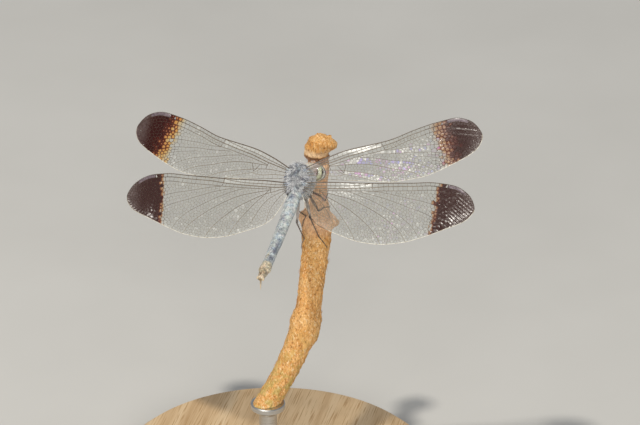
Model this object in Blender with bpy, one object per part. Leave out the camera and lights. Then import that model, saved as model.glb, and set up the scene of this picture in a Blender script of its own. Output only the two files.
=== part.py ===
"""Life-size museum model of a perched dragonfly, an old pruinose female woodskimmer (genus Uracis).

It clings to a cut length of dead twig, which a short steel rod holds above a turned wooden base.
Sizes are in millimetres and become metres when a mesh is made. The origin is the centre of the
base's underside, +Z is up and the insect heads towards -Y. Body coordinates are (right, forward,
up) of the insect, measured from the middle of its thorax.
"""

import math

import bmesh
import bpy
import numpy as np
from mathutils import Matrix, Vector

MM = 0.001
GAP = 0.07  # between neighbouring pieces
MEMBRANE = 0.5  # wing plate thickness

# Stand
BASE_RADIUS, BASE_HEIGHT, BASE_EDGE = 28.0, 6.0, 1.2
ROD_RADIUS, ROD_CUP_RADIUS, ROD_FOOT_RADIUS = 1.5, 2.9, 4.0
ROD_FLANGE = 1.0
TWIG_FOOT_Z = 20.6

# Pose of the body in the world
THORAX_AT = (-2.5, -7.0, 57.0)
BODY_PITCH, BODY_ROLL = 15.7, 8.0  # nose up, right side up, degrees

# Head, in its own axes (right, forward, up)
HEAD_AT = (0.83, 4.56, -2.18)
HEAD_YAW, HEAD_ROLL = 22.0, 15.0  # turned to its right, right side up
HEAD_HALF_WIDTH, HEAD_HALF_LENGTH, HEAD_HALF_HEIGHT = 2.8, 1.42, 1.68
CAPSULE_HALF_WIDTH = 0.55

# Abdomen, in millimetres along it from the thorax
ABDOMEN_START, ABDOMEN_END = (-0.28, -3.12, -0.6), (-0.42, -25.5, 1.7)
ABDOMEN_SAG = 0.35
SEGMENT_LENGTHS = (0.7, 1.6, 3.2, 3.3, 3.3, 3.2, 2.9, 1.9, 1.5, 0.9)
JOINT_HALF_WIDTHS = (0.95, 1.1, 1.15, 1.03, 0.98, 0.94, 0.86, 0.86, 0.94, 0.7, 0.45)
ABDOMEN_DEPTH = 0.92  # height over width

# Thorax sections: forward, centre height, half height above and below, half width
THORAX_SECTIONS = (
    (-3.0, -0.6, 0.85, 0.85, 0.9),
    (-2.75, -0.55, 1.3, 1.35, 1.5),
    (-2.0, -0.3, 1.75, 2.0, 2.05),
    (-1.0, -0.1, 2.25, 2.6, 2.4),
    (0.2, 0.0, 2.85, 2.9, 2.5),
    (1.2, 0.0, 2.85, 2.85, 2.4),
    (1.85, -0.15, 2.3, 2.4, 2.05),
    (2.2, -0.6, 1.7, 1.7, 1.6),
    (2.33, -0.9, 1.0, 1.0, 1.15),
)
THORAX_TOP_TAPER = 0.22

# Wings: share of the span, then reach ahead of and behind the span line
FORE_OUTLINE = (
    (0.0, 0.2, 1.7), (0.12, 1.25, 2.5), (0.25, 1.95, 3.45), (0.4, 2.15, 4.55), (0.48, 2.3, 5.05),
    (0.62, 3.2, 5.05), (0.75, 3.85, 4.3), (0.86, 4.05, 3.25), (0.94, 3.3, 2.3), (0.98, 2.2, 1.5),
    (1.0, 0.9, 0.5),
)
HIND_OUTLINE = (
    (0.0, 0.0, 2.1), (0.06, 0.35, 5.0), (0.12, 0.7, 6.55), (0.25, 1.25, 7.6), (0.4, 1.9, 8.3),
    (0.48, 2.35, 8.2), (0.62, 3.05, 7.25), (0.75, 3.75, 5.5), (0.86, 3.85, 3.7), (0.94, 3.0, 2.4),
    (0.98, 2.0, 1.4), (1.0, 0.9, 0.3),
)
FORE_SPAN, HIND_SPAN = 29.6, 28.8
FORE_HINGE, HIND_HINGE = (1.57, 0.62, 2.11), (1.55, -1.57, 0.99)
# Sweep forward, droop and leading edge up, degrees
WING_POSES = {
    "wing_fore_left": (16.5, -2.5, 32.0),
    "wing_fore_right": (15.6, 0.1, 30.6),
    "wing_hind_left": (-0.9, 6.6, 31.3),
    "wing_hind_right": (-3.4, 9.8, 33.0),
}
WING_CAMBER = 0.035  # rise of the middle of a chord, share of the chord
WING_CLEAR = 0.22  # gap between the wing plates and the thorax

# Legs: hip, knee, ankle and toe in body coordinates; ankle and toe are laid on the twig
LEG_POINTS = {
    "fore_left": ((-0.7, 1.35, -3.3), (-1.46, 4.0, -4.5), (-1.06, 5.4, -6.56), (-1.13, 5.2, -7.98)),
    "fore_right": ((0.7, 1.35, -3.3), (3.3, -0.6, -2.9), (2.41, 3.16, -7.46), (2.18, 5.3, -7.7)),
    "mid_left": ((-0.95, 0.35, -3.35), (-1.2, -0.9, -5.9), (-0.7, 0.5, -8.4), (-1.1, 0.1, -10.2)),
    "mid_right": ((0.95, 0.3, -3.35), (2.65, -1.63, -5.35), (2.43, 1.96, -7.83), (2.5, 3.4, -9.0)),
    "hind_left": ((-0.6, -0.75, -3.3), (0.02, -5.7, -4.26), (-1.26, -2.54, -10.74), (-2.0, -1.9, -13.2)),
    "hind_right": ((0.7, -0.8, -3.3), (2.28, -4.94, -3.83), (1.82, -2.21, -10.69), (2.51, -2.05, -13.1)),
}
FEMUR_RADII, TIBIA_RADII, TARSUS_RADII = (0.36, 0.42, 0.3), (0.29, 0.27, 0.26), (0.26, 0.26, 0.25)

# Twig: where its middle runs and how thick it is
TWIG_PATH = (
    (0.3, 4.3, TWIG_FOOT_Z, 2.0), (-0.9, 2.7, 22.9, 2.0), (-2.7, 0.3, 26.6, 2.1),
    (-3.5, -1.2, 29.0, 2.2), (-4.4, -2.5, 31.1, 2.5), (-4.6, -3.6, 32.9, 2.5),
    (-4.7, -4.6, 34.7, 2.1), (-4.7, -6.5, 38.2, 2.1), (-4.8, -8.5, 41.9, 2.15),
    (-4.8, -9.8, 44.3, 2.4), (-4.6, -11.2, 47.0, 2.5), (-4.6, -12.4, 49.0, 1.65),
    (-4.2, -13.7, 51.1, 1.5), (-3.95, -15.3, 53.3, 1.5), (-3.95, -16.3, 55.0, 1.55),
    (-3.6, -16.7, 56.2, 1.7), (-3.55, -16.9, 56.9, 2.05), (-3.65, -17.0, 57.5, 2.0),
    (-3.78, -17.1, 58.1, 2.1), (-3.92, -17.2, 58.8, 2.15), (-4.06, -17.35, 59.5, 2.2),
    (-4.15, -17.5, 60.15, 1.35),
)
# Swellings and hollows: height, side it faces (degrees, 0 is the insect's right), rise,
# spread along, spread round
TWIG_KNOBS = (
    (47.7, 5.0, 1.35, 1.15, 38.0),
    (48.2, 188.0, 1.1, 1.1, 34.0),
    (57.6, 180.0, 0.5, 1.1, 60.0),
    (57.7, 0.0, -0.5, 0.7, 60.0),
    (59.35, 0.0, 0.4, 0.75, 50.0),
    (32.2, 190.0, 0.3, 1.0, 40.0),
)
TWIG_SIDES = 18

BODY_FRAME = (
    Matrix.Translation(THORAX_AT)
    @ Matrix.Rotation(math.pi, 4, "Z")
    @ Matrix.Rotation(math.radians(BODY_PITCH), 4, "X")
    @ Matrix.Rotation(math.radians(-BODY_ROLL), 4, "Y")
)
HEAD_FRAME = (
    BODY_FRAME
    @ Matrix.Translation(HEAD_AT)
    @ Matrix.Rotation(math.radians(-HEAD_YAW), 4, "Z")
    @ Matrix.Rotation(math.radians(-HEAD_ROLL), 4, "Y")
)

# Finishes: colour, roughness, metallic
FINISHES = {
    "thorax": ((0.30, 0.34, 0.42), 0.75, 0.0),
    "abdomen": ((0.42, 0.47, 0.54), 0.7, 0.0),
    "abdomen_tip": ((0.62, 0.56, 0.44), 0.6, 0.0),
    "head": ((0.46, 0.38, 0.26), 0.5, 0.0),
    "face": ((0.52, 0.46, 0.30), 0.45, 0.0),
    "eye": ((0.09, 0.06, 0.03), 0.12, 0.0),
    "spine": ((0.30, 0.19, 0.09), 0.45, 0.0),
    "leg": ((0.07, 0.045, 0.03), 0.4, 0.0),
    "antenna": ((0.05, 0.035, 0.025), 0.4, 0.0),
    "wing": ((0.55, 0.56, 0.48), 0.2, 0.0),
    "bark": ((0.46, 0.25, 0.09), 0.85, 0.0),
    "maple": ((0.72, 0.58, 0.42), 0.5, 0.0),
    "steel": ((0.62, 0.62, 0.6), 0.3, 1.0),
}


def clear_scene():
    for thing in list(bpy.data.objects):
        bpy.data.objects.remove(thing, do_unlink=True)


def finish_of(name, kind):
    colour, roughness, metallic = FINISHES[kind]
    material = bpy.data.materials.new(name)
    material.use_nodes = True
    shader = material.node_tree.nodes["Principled BSDF"]
    shader.inputs["Base Color"].default_value = (*colour, 1.0)
    shader.inputs["Roughness"].default_value = roughness
    shader.inputs["Metallic"].default_value = metallic
    return material


def add_solid(name, points, faces, kind, smooth=True):
    """One closed object from points in world millimetres."""
    mesh = bpy.data.meshes.new(name)
    mesh.from_pydata([tuple(MM * c for c in p) for p in points], [], faces)
    work = bmesh.new()
    work.from_mesh(mesh)
    bmesh.ops.recalc_face_normals(work, faces=work.faces)
    work.to_mesh(mesh)
    work.free()
    mesh.polygons.foreach_set("use_smooth", [smooth] * len(mesh.polygons))
    mesh.materials.append(finish_of(name, kind))
    solid = bpy.data.objects.new(name, mesh)
    bpy.context.scene.collection.objects.link(solid)
    return solid


def skin_rings(rings):
    """Points and faces of a closed tube through rings of equal count, its ends closed flat."""
    sides = len(rings[0])
    points = [p for ring in rings for p in ring]
    faces = []
    for i in range(len(rings) - 1):
        for j in range(sides):
            k = (j + 1) % sides
            faces.append((i * sides + j, i * sides + k, (i + 1) * sides + k, (i + 1) * sides + j))
    for start, first in ((0, True), (len(rings) - 1, False)):
        middle = len(points)
        points.append(sum((Vector(p) for p in rings[start]), Vector()) / sides)
        for j in range(sides):
            a, b = start * sides + j, start * sides + (j + 1) % sides
            faces.append((middle, b, a) if first else (middle, a, b))
    return points, faces


def oval(centre, across, upward, count, taper=0.0, below=None):
    """Ring of points round centre: across and upward are half sizes as vectors; taper narrows the top."""
    centre, across, upward = Vector(centre), Vector(across), Vector(upward)
    below = upward if below is None else Vector(below)
    ring = []
    for k in range(count):
        angle = 2 * math.pi * k / count
        side, lift = math.cos(angle), math.sin(angle)
        narrow = 1 - taper * max(0.0, lift)
        ring.append(centre + across * side * narrow + (upward if lift > 0 else below) * lift)
    return ring


def moved(frame, rings):
    return [[frame @ Vector(p) for p in ring] for ring in rings]


def add_lathe(name, profile, at, sides, kind):
    """Solid of revolution about a vertical axis: profile is (radius, height) from bottom to top."""
    x, y = at
    rings = [oval((x, y, z), (r, 0, 0), (0, r, 0), sides) for r, z in profile]
    return add_solid(name, *skin_rings(rings), kind)


def tube(path, radii, sides):
    """Rings of a round tube along a path, each square to it."""
    path = [Vector(p) for p in path]
    rings, across = [], None
    for i, at in enumerate(path):
        along = (path[min(i + 1, len(path) - 1)] - path[max(i - 1, 0)]).normalized()
        if across is None:
            across = along.orthogonal().normalized()
        across = (across - along * across.dot(along)).normalized()
        rings.append(oval(at, across * radii[i], along.cross(across) * radii[i], sides))
    return rings


def smooth_at(table, at):
    """Value of a column at a place between its rows, by a curve with no overshoot (monotone Hermite)."""
    xs, ys = [row[0] for row in table], [row[1] for row in table]
    i = min(max(int(np.searchsorted(xs, at, side="right")) - 1, 0), len(xs) - 2)
    rise = [(ys[k + 1] - ys[k]) / (xs[k + 1] - xs[k]) for k in range(len(xs) - 1)]

    def slope(k):
        if k in (0, len(xs) - 1):
            return rise[0] if k == 0 else rise[-1]
        before, after = rise[k - 1], rise[k]
        return 0.0 if before * after <= 0 else 2 * before * after / (before + after)

    width = xs[i + 1] - xs[i]
    t = (at - xs[i]) / width
    return (
        (2 * t**3 - 3 * t**2 + 1) * ys[i]
        + (t**3 - 2 * t**2 + t) * width * slope(i)
        + (3 * t**2 - 2 * t**3) * ys[i + 1]
        + (t**3 - t**2) * width * slope(i + 1)
    )


def build_stand():
    edge = BASE_EDGE
    add_lathe(
        "stand_base",
        (
            (BASE_RADIUS - edge / 2, 0.0),
            (BASE_RADIUS, edge / 2),
            (BASE_RADIUS, BASE_HEIGHT - 2 * edge),
            (BASE_RADIUS - edge * 0.35, BASE_HEIGHT - edge * 0.9),
            (BASE_RADIUS - edge, BASE_HEIGHT - edge * 0.3),
            (BASE_RADIUS - 2 * edge, BASE_HEIGHT),
        ),
        (0.0, 0.0),
        64,
        "maple",
    )
    low, high = BASE_HEIGHT + GAP, TWIG_FOOT_Z - GAP
    add_lathe(
        "stand_rod",
        (
            (ROD_FOOT_RADIUS, low),
            (ROD_FOOT_RADIUS, low + ROD_FLANGE),
            (ROD_RADIUS, low + ROD_FLANGE),
            (ROD_RADIUS, high - ROD_FLANGE),
            (ROD_CUP_RADIUS, high - ROD_FLANGE),
            (ROD_CUP_RADIUS, high),
        ),
        TWIG_PATH[0][:2],
        28,
        "steel",
    ).data.shade_flat()


def twig_radius(height, side, plain):
    """How far the bark stands from the twig's middle line, at a height and a side in degrees."""
    rise = 0.0
    for at, faces, most, along, around in TWIG_KNOBS:
        turn = (side - faces + 180.0) % 360.0 - 180.0
        rise += most * math.exp(-(((height - at) / along) ** 2) - (turn / around) ** 2)
    return plain + rise


def build_twig():
    rings = []
    path = [Vector(row[:3]) for row in TWIG_PATH]
    for i, (at, row) in enumerate(zip(path, TWIG_PATH)):
        along = (path[min(i + 1, len(path) - 1)] - path[max(i - 1, 0)]).normalized()
        right = Vector((-1, 0, 0))
        right = (right - along * right.dot(along)).normalized()
        back = along.cross(right)
        ring = []
        for k in range(TWIG_SIDES):
            side = 360.0 * k / TWIG_SIDES
            turn = math.radians(side)
            reach = twig_radius(at.z, side, row[3])
            point = at + (right * math.cos(turn) + back * math.sin(turn)) * reach
            if i == 0:  # sawn level where it stands on the rod
                point += along * ((TWIG_FOOT_Z - point.z) / along.z)
            ring.append(point)
        rings.append(ring)
    top = path[-1] + Vector((0, -0.1, 0.45))
    rings.append([top + (p - path[-1]) * 0.45 for p in rings[-1]])
    add_solid("twig", *skin_rings(rings), "bark")
    return rings


def on_twig(point, clearance):
    """The point moved to stand clear of the bark by clearance, square to the twig's middle line."""
    point, best = Vector(point), None
    for low, high in zip(TWIG_PATH, TWIG_PATH[1:]):
        a, b = Vector(low[:3]), Vector(high[:3])
        share = min(max((point - a).dot(b - a) / (b - a).length_squared, 0.0), 1.0)
        near = a.lerp(b, share)
        distance = (point - near).length
        if best is None or distance < best[0]:
            best = (distance, near, low[3] + share * (high[3] - low[3]))
    _, near, plain = best
    away = (point - near).normalized()
    side = math.degrees(math.atan2(away.dot(Vector((0, -1, 0))), -away.x))
    return near + away * (twig_radius(near.z, side, plain) + clearance)


def build_legs():
    for leg, (hip, knee, ankle, toe) in LEG_POINTS.items():
        hip, knee = BODY_FRAME @ Vector(hip), BODY_FRAME @ Vector(knee)
        ankle = on_twig(BODY_FRAME @ Vector(ankle), TARSUS_RADII[0] + 0.4)
        toe = on_twig(BODY_FRAME @ Vector(toe), TARSUS_RADII[0] + GAP)
        middle = on_twig(ankle.lerp(toe, 0.5), TARSUS_RADII[0] + GAP + 0.1)
        joint = 0.28
        for part, line, radii in (
            ("femur", (hip, hip.lerp(knee, 0.4), knee), FEMUR_RADII),
            ("tibia", (knee, knee.lerp(ankle, 0.5), ankle), TIBIA_RADII),
            ("tarsus", (ankle, middle, toe), TARSUS_RADII),
        ):
            first, last = (line[1] - line[0]).normalized(), (line[2] - line[1]).normalized()
            start = line[0] + first * (0.0 if part == "femur" else joint)
            end = line[2] - last * (0.0 if part == "tarsus" else joint)
            path = (start, start + first * 0.12, line[1], end - last * 0.12, end)
            scale = (0.75, radii[0], radii[1], radii[2], radii[2] * 0.75)
            radii = (radii[0] * 0.75, *scale[1:])
            add_solid(f"leg_{leg}_{part}", *skin_rings(tube(path, radii, 8)), "leg")


def build_thorax():
    rings = [
        oval((0, y, z), (w, 0, 0), (0, 0, up), 20, THORAX_TOP_TAPER, (0, 0, down))
        for y, z, up, down, w in THORAX_SECTIONS
    ]
    add_solid("thorax", *skin_rings(moved(BODY_FRAME, rings)), "thorax")
    collar = (
        ((0.0, 2.5, -1.0), 0.95), ((0.05, 2.6, -1.1), 1.15),
        ((0.15, 2.78, -1.3), 1.05), ((0.2, 2.88, -1.4), 0.8),
    )
    rings = [oval(at, (r, 0, 0), (0, 0.1 * r, r), 14) for at, r in collar]
    add_solid("prothorax", *skin_rings(moved(BODY_FRAME, rings)), "thorax")


def thorax_surface(forward, height):
    """Half width of the thorax at a place, or 0 beyond it."""
    ys = [row[0] for row in THORAX_SECTIONS]
    if not ys[0] < forward < ys[-1]:
        return 0.0
    z, up, down, wide = (
        float(np.interp(forward, ys, [row[k] for row in THORAX_SECTIONS])) for k in (1, 2, 3, 4)
    )
    lift = (height - z) / (up if height > z else down)
    if abs(lift) >= 1:
        return 0.0
    return wide * math.sqrt(1 - lift * lift) * (1 - THORAX_TOP_TAPER * max(0.0, lift))


def abdomen_at(distance):
    """Middle of the abdomen, in body coordinates, at a distance along it."""
    start, end = Vector(ABDOMEN_START), Vector(ABDOMEN_END)
    share = distance / sum(SEGMENT_LENGTHS)
    return start.lerp(end, share) - Vector((0, 0, ABDOMEN_SAG * math.sin(math.pi * share)))


def build_abdomen():
    reached = 0.0
    for number, length in enumerate(SEGMENT_LENGTHS, 1):
        first, last = JOINT_HALF_WIDTHS[number - 1], JOINT_HALF_WIDTHS[number]
        low, high = reached + GAP / 2, reached + length - GAP / 2
        stations = (
            (low, first * 0.93), (low + 0.12 * length, first), (high - 0.1 * length, last),
            (high, last * 0.95),
        )
        rings = [
            oval(abdomen_at(at), (w, 0, 0), (0, 0, w * ABDOMEN_DEPTH), 14, 0.08) for at, w in stations
        ]
        kind = "abdomen_tip" if number >= 8 else "abdomen"
        add_solid(f"abdomen_{number:02d}", *skin_rings(moved(BODY_FRAME, rings)), kind)
        reached += length
    below = ((20.3, -1.1), (21.2, -1.12), (22.6, -0.98), (24.2, -0.92))
    path = [BODY_FRAME @ (abdomen_at(at) + Vector((0, 0, drop))) for at, drop in below]
    add_solid("ovipositor", *skin_rings(tube(path, (0.26, 0.3, 0.27, 0.2), 8)), "spine")
    for side, sign in (("left", -1), ("right", 1)):
        path = [
            BODY_FRAME @ (abdomen_at(at) + Vector((sign * out, 0, 0.12)))
            for at, out in ((22.5 + GAP, 0.27), (23.0, 0.29), (23.5, 0.31))
        ]
        add_solid(f"cercus_{side}", *skin_rings(tube(path, (0.2, 0.2, 0.1), 8)), "spine")


def head_slice(across, count):
    """Section of the head's rounded outline across its width."""
    share = min(across / HEAD_HALF_WIDTH, 0.995)
    size = (1 - share**2.6) ** 0.5
    return oval(
        (across, 0, 0),
        (0, HEAD_HALF_LENGTH * size, 0),
        (0, 0, HEAD_HALF_HEIGHT * size),
        count,
    )


def build_head():
    inner = CAPSULE_HALF_WIDTH + GAP
    for side, sign in (("left", -1), ("right", 1)):
        stations = (inner, 0.9, 1.35, 1.8, 2.15, 2.45, 2.65, 2.76)
        rings = [[Vector((sign * p.x, p.y, p.z)) for p in head_slice(x, 18)] for x in stations]
        add_solid(f"eye_{side}", *skin_rings(moved(HEAD_FRAME, rings)), "eye")
        base = Vector((sign * 0.4, HEAD_HALF_LENGTH + 0.12, 0.55))
        path = [HEAD_FRAME @ (base + Vector((sign * 0.8, 0.5, -0.1)) * t) for t in (0.0, 0.6, 1.7)]
        add_solid(f"antenna_{side}", *skin_rings(tube(path, (0.27, 0.26, 0.25), 7)), "antenna")
    rings = [
        oval((x, -0.05, 0), (0, 1.35 * s, 0), (0, 0, 1.62 * s), 16)
        for x, s in ((-0.55, 0.94), (-0.3, 1.0), (0.3, 1.0), (0.55, 0.94))
    ]
    add_solid("head_capsule", *skin_rings(moved(HEAD_FRAME, rings)), "head")
    face = ((1.5, 1.15, 0.75, -0.62), (1.75, 1.2, 0.8, -0.64), (2.1, 0.95, 0.66, -0.66),
            (2.3, 0.5, 0.38, -0.68))
    rings = [oval((0, y, z), (w, 0, 0), (0, 0, h), 14) for y, w, h, z in face]
    add_solid("face", *skin_rings(moved(HEAD_FRAME, rings)), "face")
    mouth = ((-1.75, 0.7, 0.6), (-1.95, 0.85, 0.75), (-2.25, 0.6, 0.6), (-2.4, 0.3, 0.3))
    rings = [oval((0, 0.45, z), (w, 0, 0), (0, d, 0), 14) for z, w, d in mouth]
    add_solid("mouthparts", *skin_rings(moved(HEAD_FRAME, rings)), "face")
    neck = [BODY_FRAME @ Vector(p) for p in ((0.24, 3.04, -1.6), (0.26, 3.1, -1.74))]
    add_solid("neck", *skin_rings(tube(neck, (0.36, 0.36), 10)), "head")


def wing_axes(side, sweep, droop, pitch):
    """Directions along the span, towards the leading edge and out of the upper face."""
    sweep, droop, pitch = (math.radians(a) for a in (sweep, droop, pitch))
    span = Vector(
        (side * math.cos(droop) * math.cos(sweep), math.cos(droop) * math.sin(sweep), -math.sin(droop))
    )
    ahead = Vector((0, 1, 0))
    ahead = (ahead - span * ahead.dot(span)).normalized()
    upper = (span.cross(ahead) * side).normalized()
    lead = ahead * math.cos(pitch) + upper * math.sin(pitch)
    return span, lead, (span.cross(lead) * side).normalized()


def build_wing(name, hinge, length, outline):
    side = -1 if name.endswith("left") else 1
    span, lead, upper = wing_axes(side, *WING_POSES[name])
    origin = Vector((side * hinge[0], hinge[1], hinge[2]))
    leading, trailing = [(r[0], r[1]) for r in outline], [(r[0], r[2]) for r in outline]
    columns, rows = 22, 6
    grid = []
    for i in range(columns + 1):
        share = math.sin(0.5 * math.pi * i / columns) ** 1.15
        front, back = smooth_at(leading, share), -smooth_at(trailing, share)
        column = []
        for j in range(rows + 1):
            v = j / rows
            reach = front + (back - front) * v
            bow = WING_CAMBER * (front - back) * 4 * v * (1 - v)
            column.append(origin + span * (share * length) + lead * reach + upper * bow)
        grid.append(column)
    for j in range(rows + 1):  # the root edge stops clear of the thorax
        for point in grid[0], grid[1]:
            while abs(point[j].x) < thorax_surface(point[j].y, point[j].z) + WING_CLEAR:
                point[j] = point[j] + span * 0.05
        if (grid[1][j] - grid[0][j]).dot(span) < 0.3:
            grid[1][j] = grid[0][j] + span * 0.3
    upper_half = [BODY_FRAME @ (p + upper * MEMBRANE / 2) for column in grid for p in column]
    lower_half = [BODY_FRAME @ (p - upper * MEMBRANE / 2) for column in grid for p in column]
    points, size, wide = upper_half + lower_half, len(upper_half), rows + 1
    faces = []
    for i in range(columns):
        for j in range(rows):
            a, b = i * wide + j, (i + 1) * wide + j
            faces.append((a, b, b + 1, a + 1))
            faces.append((size + a, size + a + 1, size + b + 1, size + b))
    rim = [i * wide for i in range(columns + 1)]
    rim += [columns * wide + j for j in range(1, rows + 1)]
    rim += [i * wide + rows for i in range(columns - 1, -1, -1)]
    rim += [j for j in range(rows - 1, 0, -1)]
    for a, b in zip(rim, rim[1:] + rim[:1]):
        faces.append((a, b, size + b, size + a))
    add_solid(name, points, faces, "wing", smooth=False)


def main():
    clear_scene()
    build_stand()
    build_twig()
    build_thorax()
    build_abdomen()
    build_head()
    build_legs()
    for side in ("left", "right"):
        build_wing(f"wing_fore_{side}", FORE_HINGE, FORE_SPAN, FORE_OUTLINE)
        build_wing(f"wing_hind_{side}", HIND_HINGE, HIND_SPAN, HIND_OUTLINE)


main()
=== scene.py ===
"""Looks of the dragonfly display model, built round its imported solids.

Lengths are in millimetres until a mesh is made. Body coordinates are (right, forward, up) of the
insect from the middle of its thorax, and head coordinates are the same from the middle of its head.
"""

from math import asin, atan2, cos, degrees, hypot, pi, radians, sin, sqrt

import bpy
import numpy as np
from mathutils import Matrix, Vector, noise


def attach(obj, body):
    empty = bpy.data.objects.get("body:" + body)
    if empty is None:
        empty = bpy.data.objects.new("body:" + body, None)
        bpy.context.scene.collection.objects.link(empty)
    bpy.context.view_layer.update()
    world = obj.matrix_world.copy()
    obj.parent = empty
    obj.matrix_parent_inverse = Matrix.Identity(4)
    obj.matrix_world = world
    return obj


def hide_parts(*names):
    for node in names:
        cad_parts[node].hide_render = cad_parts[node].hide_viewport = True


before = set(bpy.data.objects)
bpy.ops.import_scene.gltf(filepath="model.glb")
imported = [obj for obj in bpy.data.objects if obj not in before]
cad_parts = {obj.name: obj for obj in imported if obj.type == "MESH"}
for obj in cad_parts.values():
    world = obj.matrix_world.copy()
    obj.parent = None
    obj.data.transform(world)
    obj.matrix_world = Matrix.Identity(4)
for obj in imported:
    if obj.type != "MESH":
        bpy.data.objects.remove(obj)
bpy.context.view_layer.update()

MM = 0.001
SIDES = (("left", -1), ("right", 1))

# Stand
BASE_RADIUS, BASE_HEIGHT = 28, 6
ROD_RADIUS, ROD_CUP_RADIUS, ROD_FOOT_RADIUS = 1.5, 2.9, 4
TWIG_FOOT_Z = 20.6

# Pose: places in millimetres, turns in degrees
THORAX_AT = (-2.5, -7, 57)
BODY_PITCH, BODY_ROLL = 15.7, 8
HEAD_AT = (0.83, 4.56, -2.18)
HEAD_YAW, HEAD_ROLL = 22, 15
BODY_FRAME = (
    Matrix.Translation(THORAX_AT)
    @ Matrix.Rotation(pi, 4, "Z")
    @ Matrix.Rotation(radians(BODY_PITCH), 4, "X")
    @ Matrix.Rotation(radians(-BODY_ROLL), 4, "Y")
)
HEAD_FRAME = (
    BODY_FRAME
    @ Matrix.Translation(HEAD_AT)
    @ Matrix.Rotation(radians(-HEAD_YAW), 4, "Z")
    @ Matrix.Rotation(radians(-HEAD_ROLL), 4, "Y")
)

# Eyes: how far they reach sideways, half length and height, power of their outline, inner side
EYE_REACH, EYE_LENGTH, EYE_HEIGHT, EYE_ROUND, EYE_INNER = 2.8, 1.42, 1.68, 2.6, 0.58

# Thorax sections: forward, centre height, half height above and below, half width
THORAX_SECTIONS = (
    (-3, -0.6, 0.85, 0.85, 0.9),
    (-2.75, -0.55, 1.3, 1.35, 1.5),
    (-2, -0.3, 1.75, 2, 2.05),
    (-1, -0.1, 2.25, 2.6, 2.4),
    (0.2, 0, 2.85, 2.9, 2.5),
    (1.2, 0, 2.85, 2.85, 2.4),
    (1.85, -0.15, 2.3, 2.4, 2.05),
    (2.2, -0.6, 1.7, 1.7, 1.6),
)
THORAX_TAPER = 0.22  # how much narrower it is on top
COAT_DEPTH = 0.16  # of hair over the skin
# Collar and neck sections: forward, sideways and up of the centre, radius
NECK_SECTIONS = (
    (2.42, 0, -0.95, 1.02),
    (2.6, 0.05, -1.1, 1.13),
    (2.78, 0.15, -1.3, 1.02),
    (2.9, 0.2, -1.42, 0.7),
    (3.02, 0.24, -1.58, 0.38),
    (3.3, 0.32, -1.8, 0.34),
)

# Abdomen: its two ends and sag, lengths of its segments, half widths where they join
ABDOMEN_START, ABDOMEN_END, ABDOMEN_SAG = (-0.28, -3.12, -0.6), (-0.42, -25.5, 1.7), 0.35
SEGMENT_LENGTHS = (0.7, 1.6, 3.2, 3.3, 3.3, 3.2, 2.9, 1.9, 1.5, 0.9)
JOINT_HALF_WIDTHS = (0.95, 1.1, 1.15, 1.03, 0.98, 0.94, 0.86, 0.86, 0.94, 0.7, 0.45)
ABDOMEN_DEPTH = 0.92  # height as a share of the width
# Where the bloom is worn thin or, below zero, thick, some rows being painted light and shade: distance, side
# in degrees, length, width, how much
BLOTCHES_AND_PAINTED_LIGHT = (
    (1.4, 80, 0.7, 28, 0.5), (3.7, 88, 0.9, 50, -0.3), (6.6, 108, 0.8, 26, 0.42),
    (7.4, 38, 0.8, 16, -0.3), (9.9, 66, 0.8, 24, 0.4), (11.5, 52, 0.6, 24, -0.3),
    (13.4, 40, 1.3, 34, 0.62), (15.2, 34, 1.1, 28, 0.7), (17.3, 46, 0.8, 40, 0.8),
    (19, 60, 0.25, 40, 0.35), (20.3, 90, 0.2, 80, 0.45),
    # The rows at 19.4 and 5.5 are painted light on the right side, and the row at 7 is painted shade on the
    # left side.
    (21.7, 100, 0.28, 16, 1), (19.4, 30, 0.8, 22, -0.8), (16.3, 30, 0.3, 30, -0.6),
    (5.5, 18, 5, 26, -0.45), (7, 150, 4, 24, 0.15), (21, 90, 0.8, 150, 0.7),
)

# Wings: share of the span, then reach ahead of and behind the span line
FORE_OUTLINE = (
    (0, 0.2, 1.7), (0.12, 1.25, 2.5), (0.25, 1.95, 3.45), (0.4, 2.15, 4.55), (0.48, 2.3, 5.05),
    (0.62, 3.2, 5.05), (0.75, 3.85, 4.3), (0.86, 4.05, 3.25), (0.94, 3.3, 2.3), (0.98, 2.2, 1.5),
    (1, 0.9, 0.5),
)
HIND_OUTLINE = (
    (0, 0, 2.1), (0.06, 0.35, 5), (0.12, 0.7, 6.55), (0.25, 1.25, 7.6), (0.4, 1.9, 8.3),
    (0.48, 2.35, 8.2), (0.62, 3.05, 7.25), (0.75, 3.75, 5.5), (0.86, 3.85, 3.7), (0.94, 3, 2.4),
    (0.98, 2, 1.4), (1, 0.9, 0.3),
)
FORE_SPAN, HIND_SPAN = 29.6, 28.8
FORE_HINGE, HIND_HINGE = (1.57, 0.62, 2.11), (1.55, -1.57, 0.99)
WING_CAMBER = 0.035  # height of the arch as a share of the chord
# Sweep forward, droop and leading edge up, in degrees
WING_POSES = {
    "wing_fore_left": (16.5, -2.5, 32),
    "wing_fore_right": (15.6, 0.1, 30.6),
    "wing_hind_left": (-0.9, 6.6, 31.3),
    "wing_hind_right": (-3.4, 9.8, 33),
}

# Numbers of hairs and fibres
THORAX_HAIRS, FRINGE_HAIRS, COLLAR_HAIRS, ABDOMEN_HAIRS = 6200, 260, 500, 3600
FACE_HAIRS, NAPE_HAIRS, BARK_FIBRES = 900, 700, 900

# Tail: distances along the abdomen where the claspers and the egg-laying spine leave it
CLASPER_START, SPINE_START, SPINE_LENGTH = 21.9, 20.1, 4.2

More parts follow.
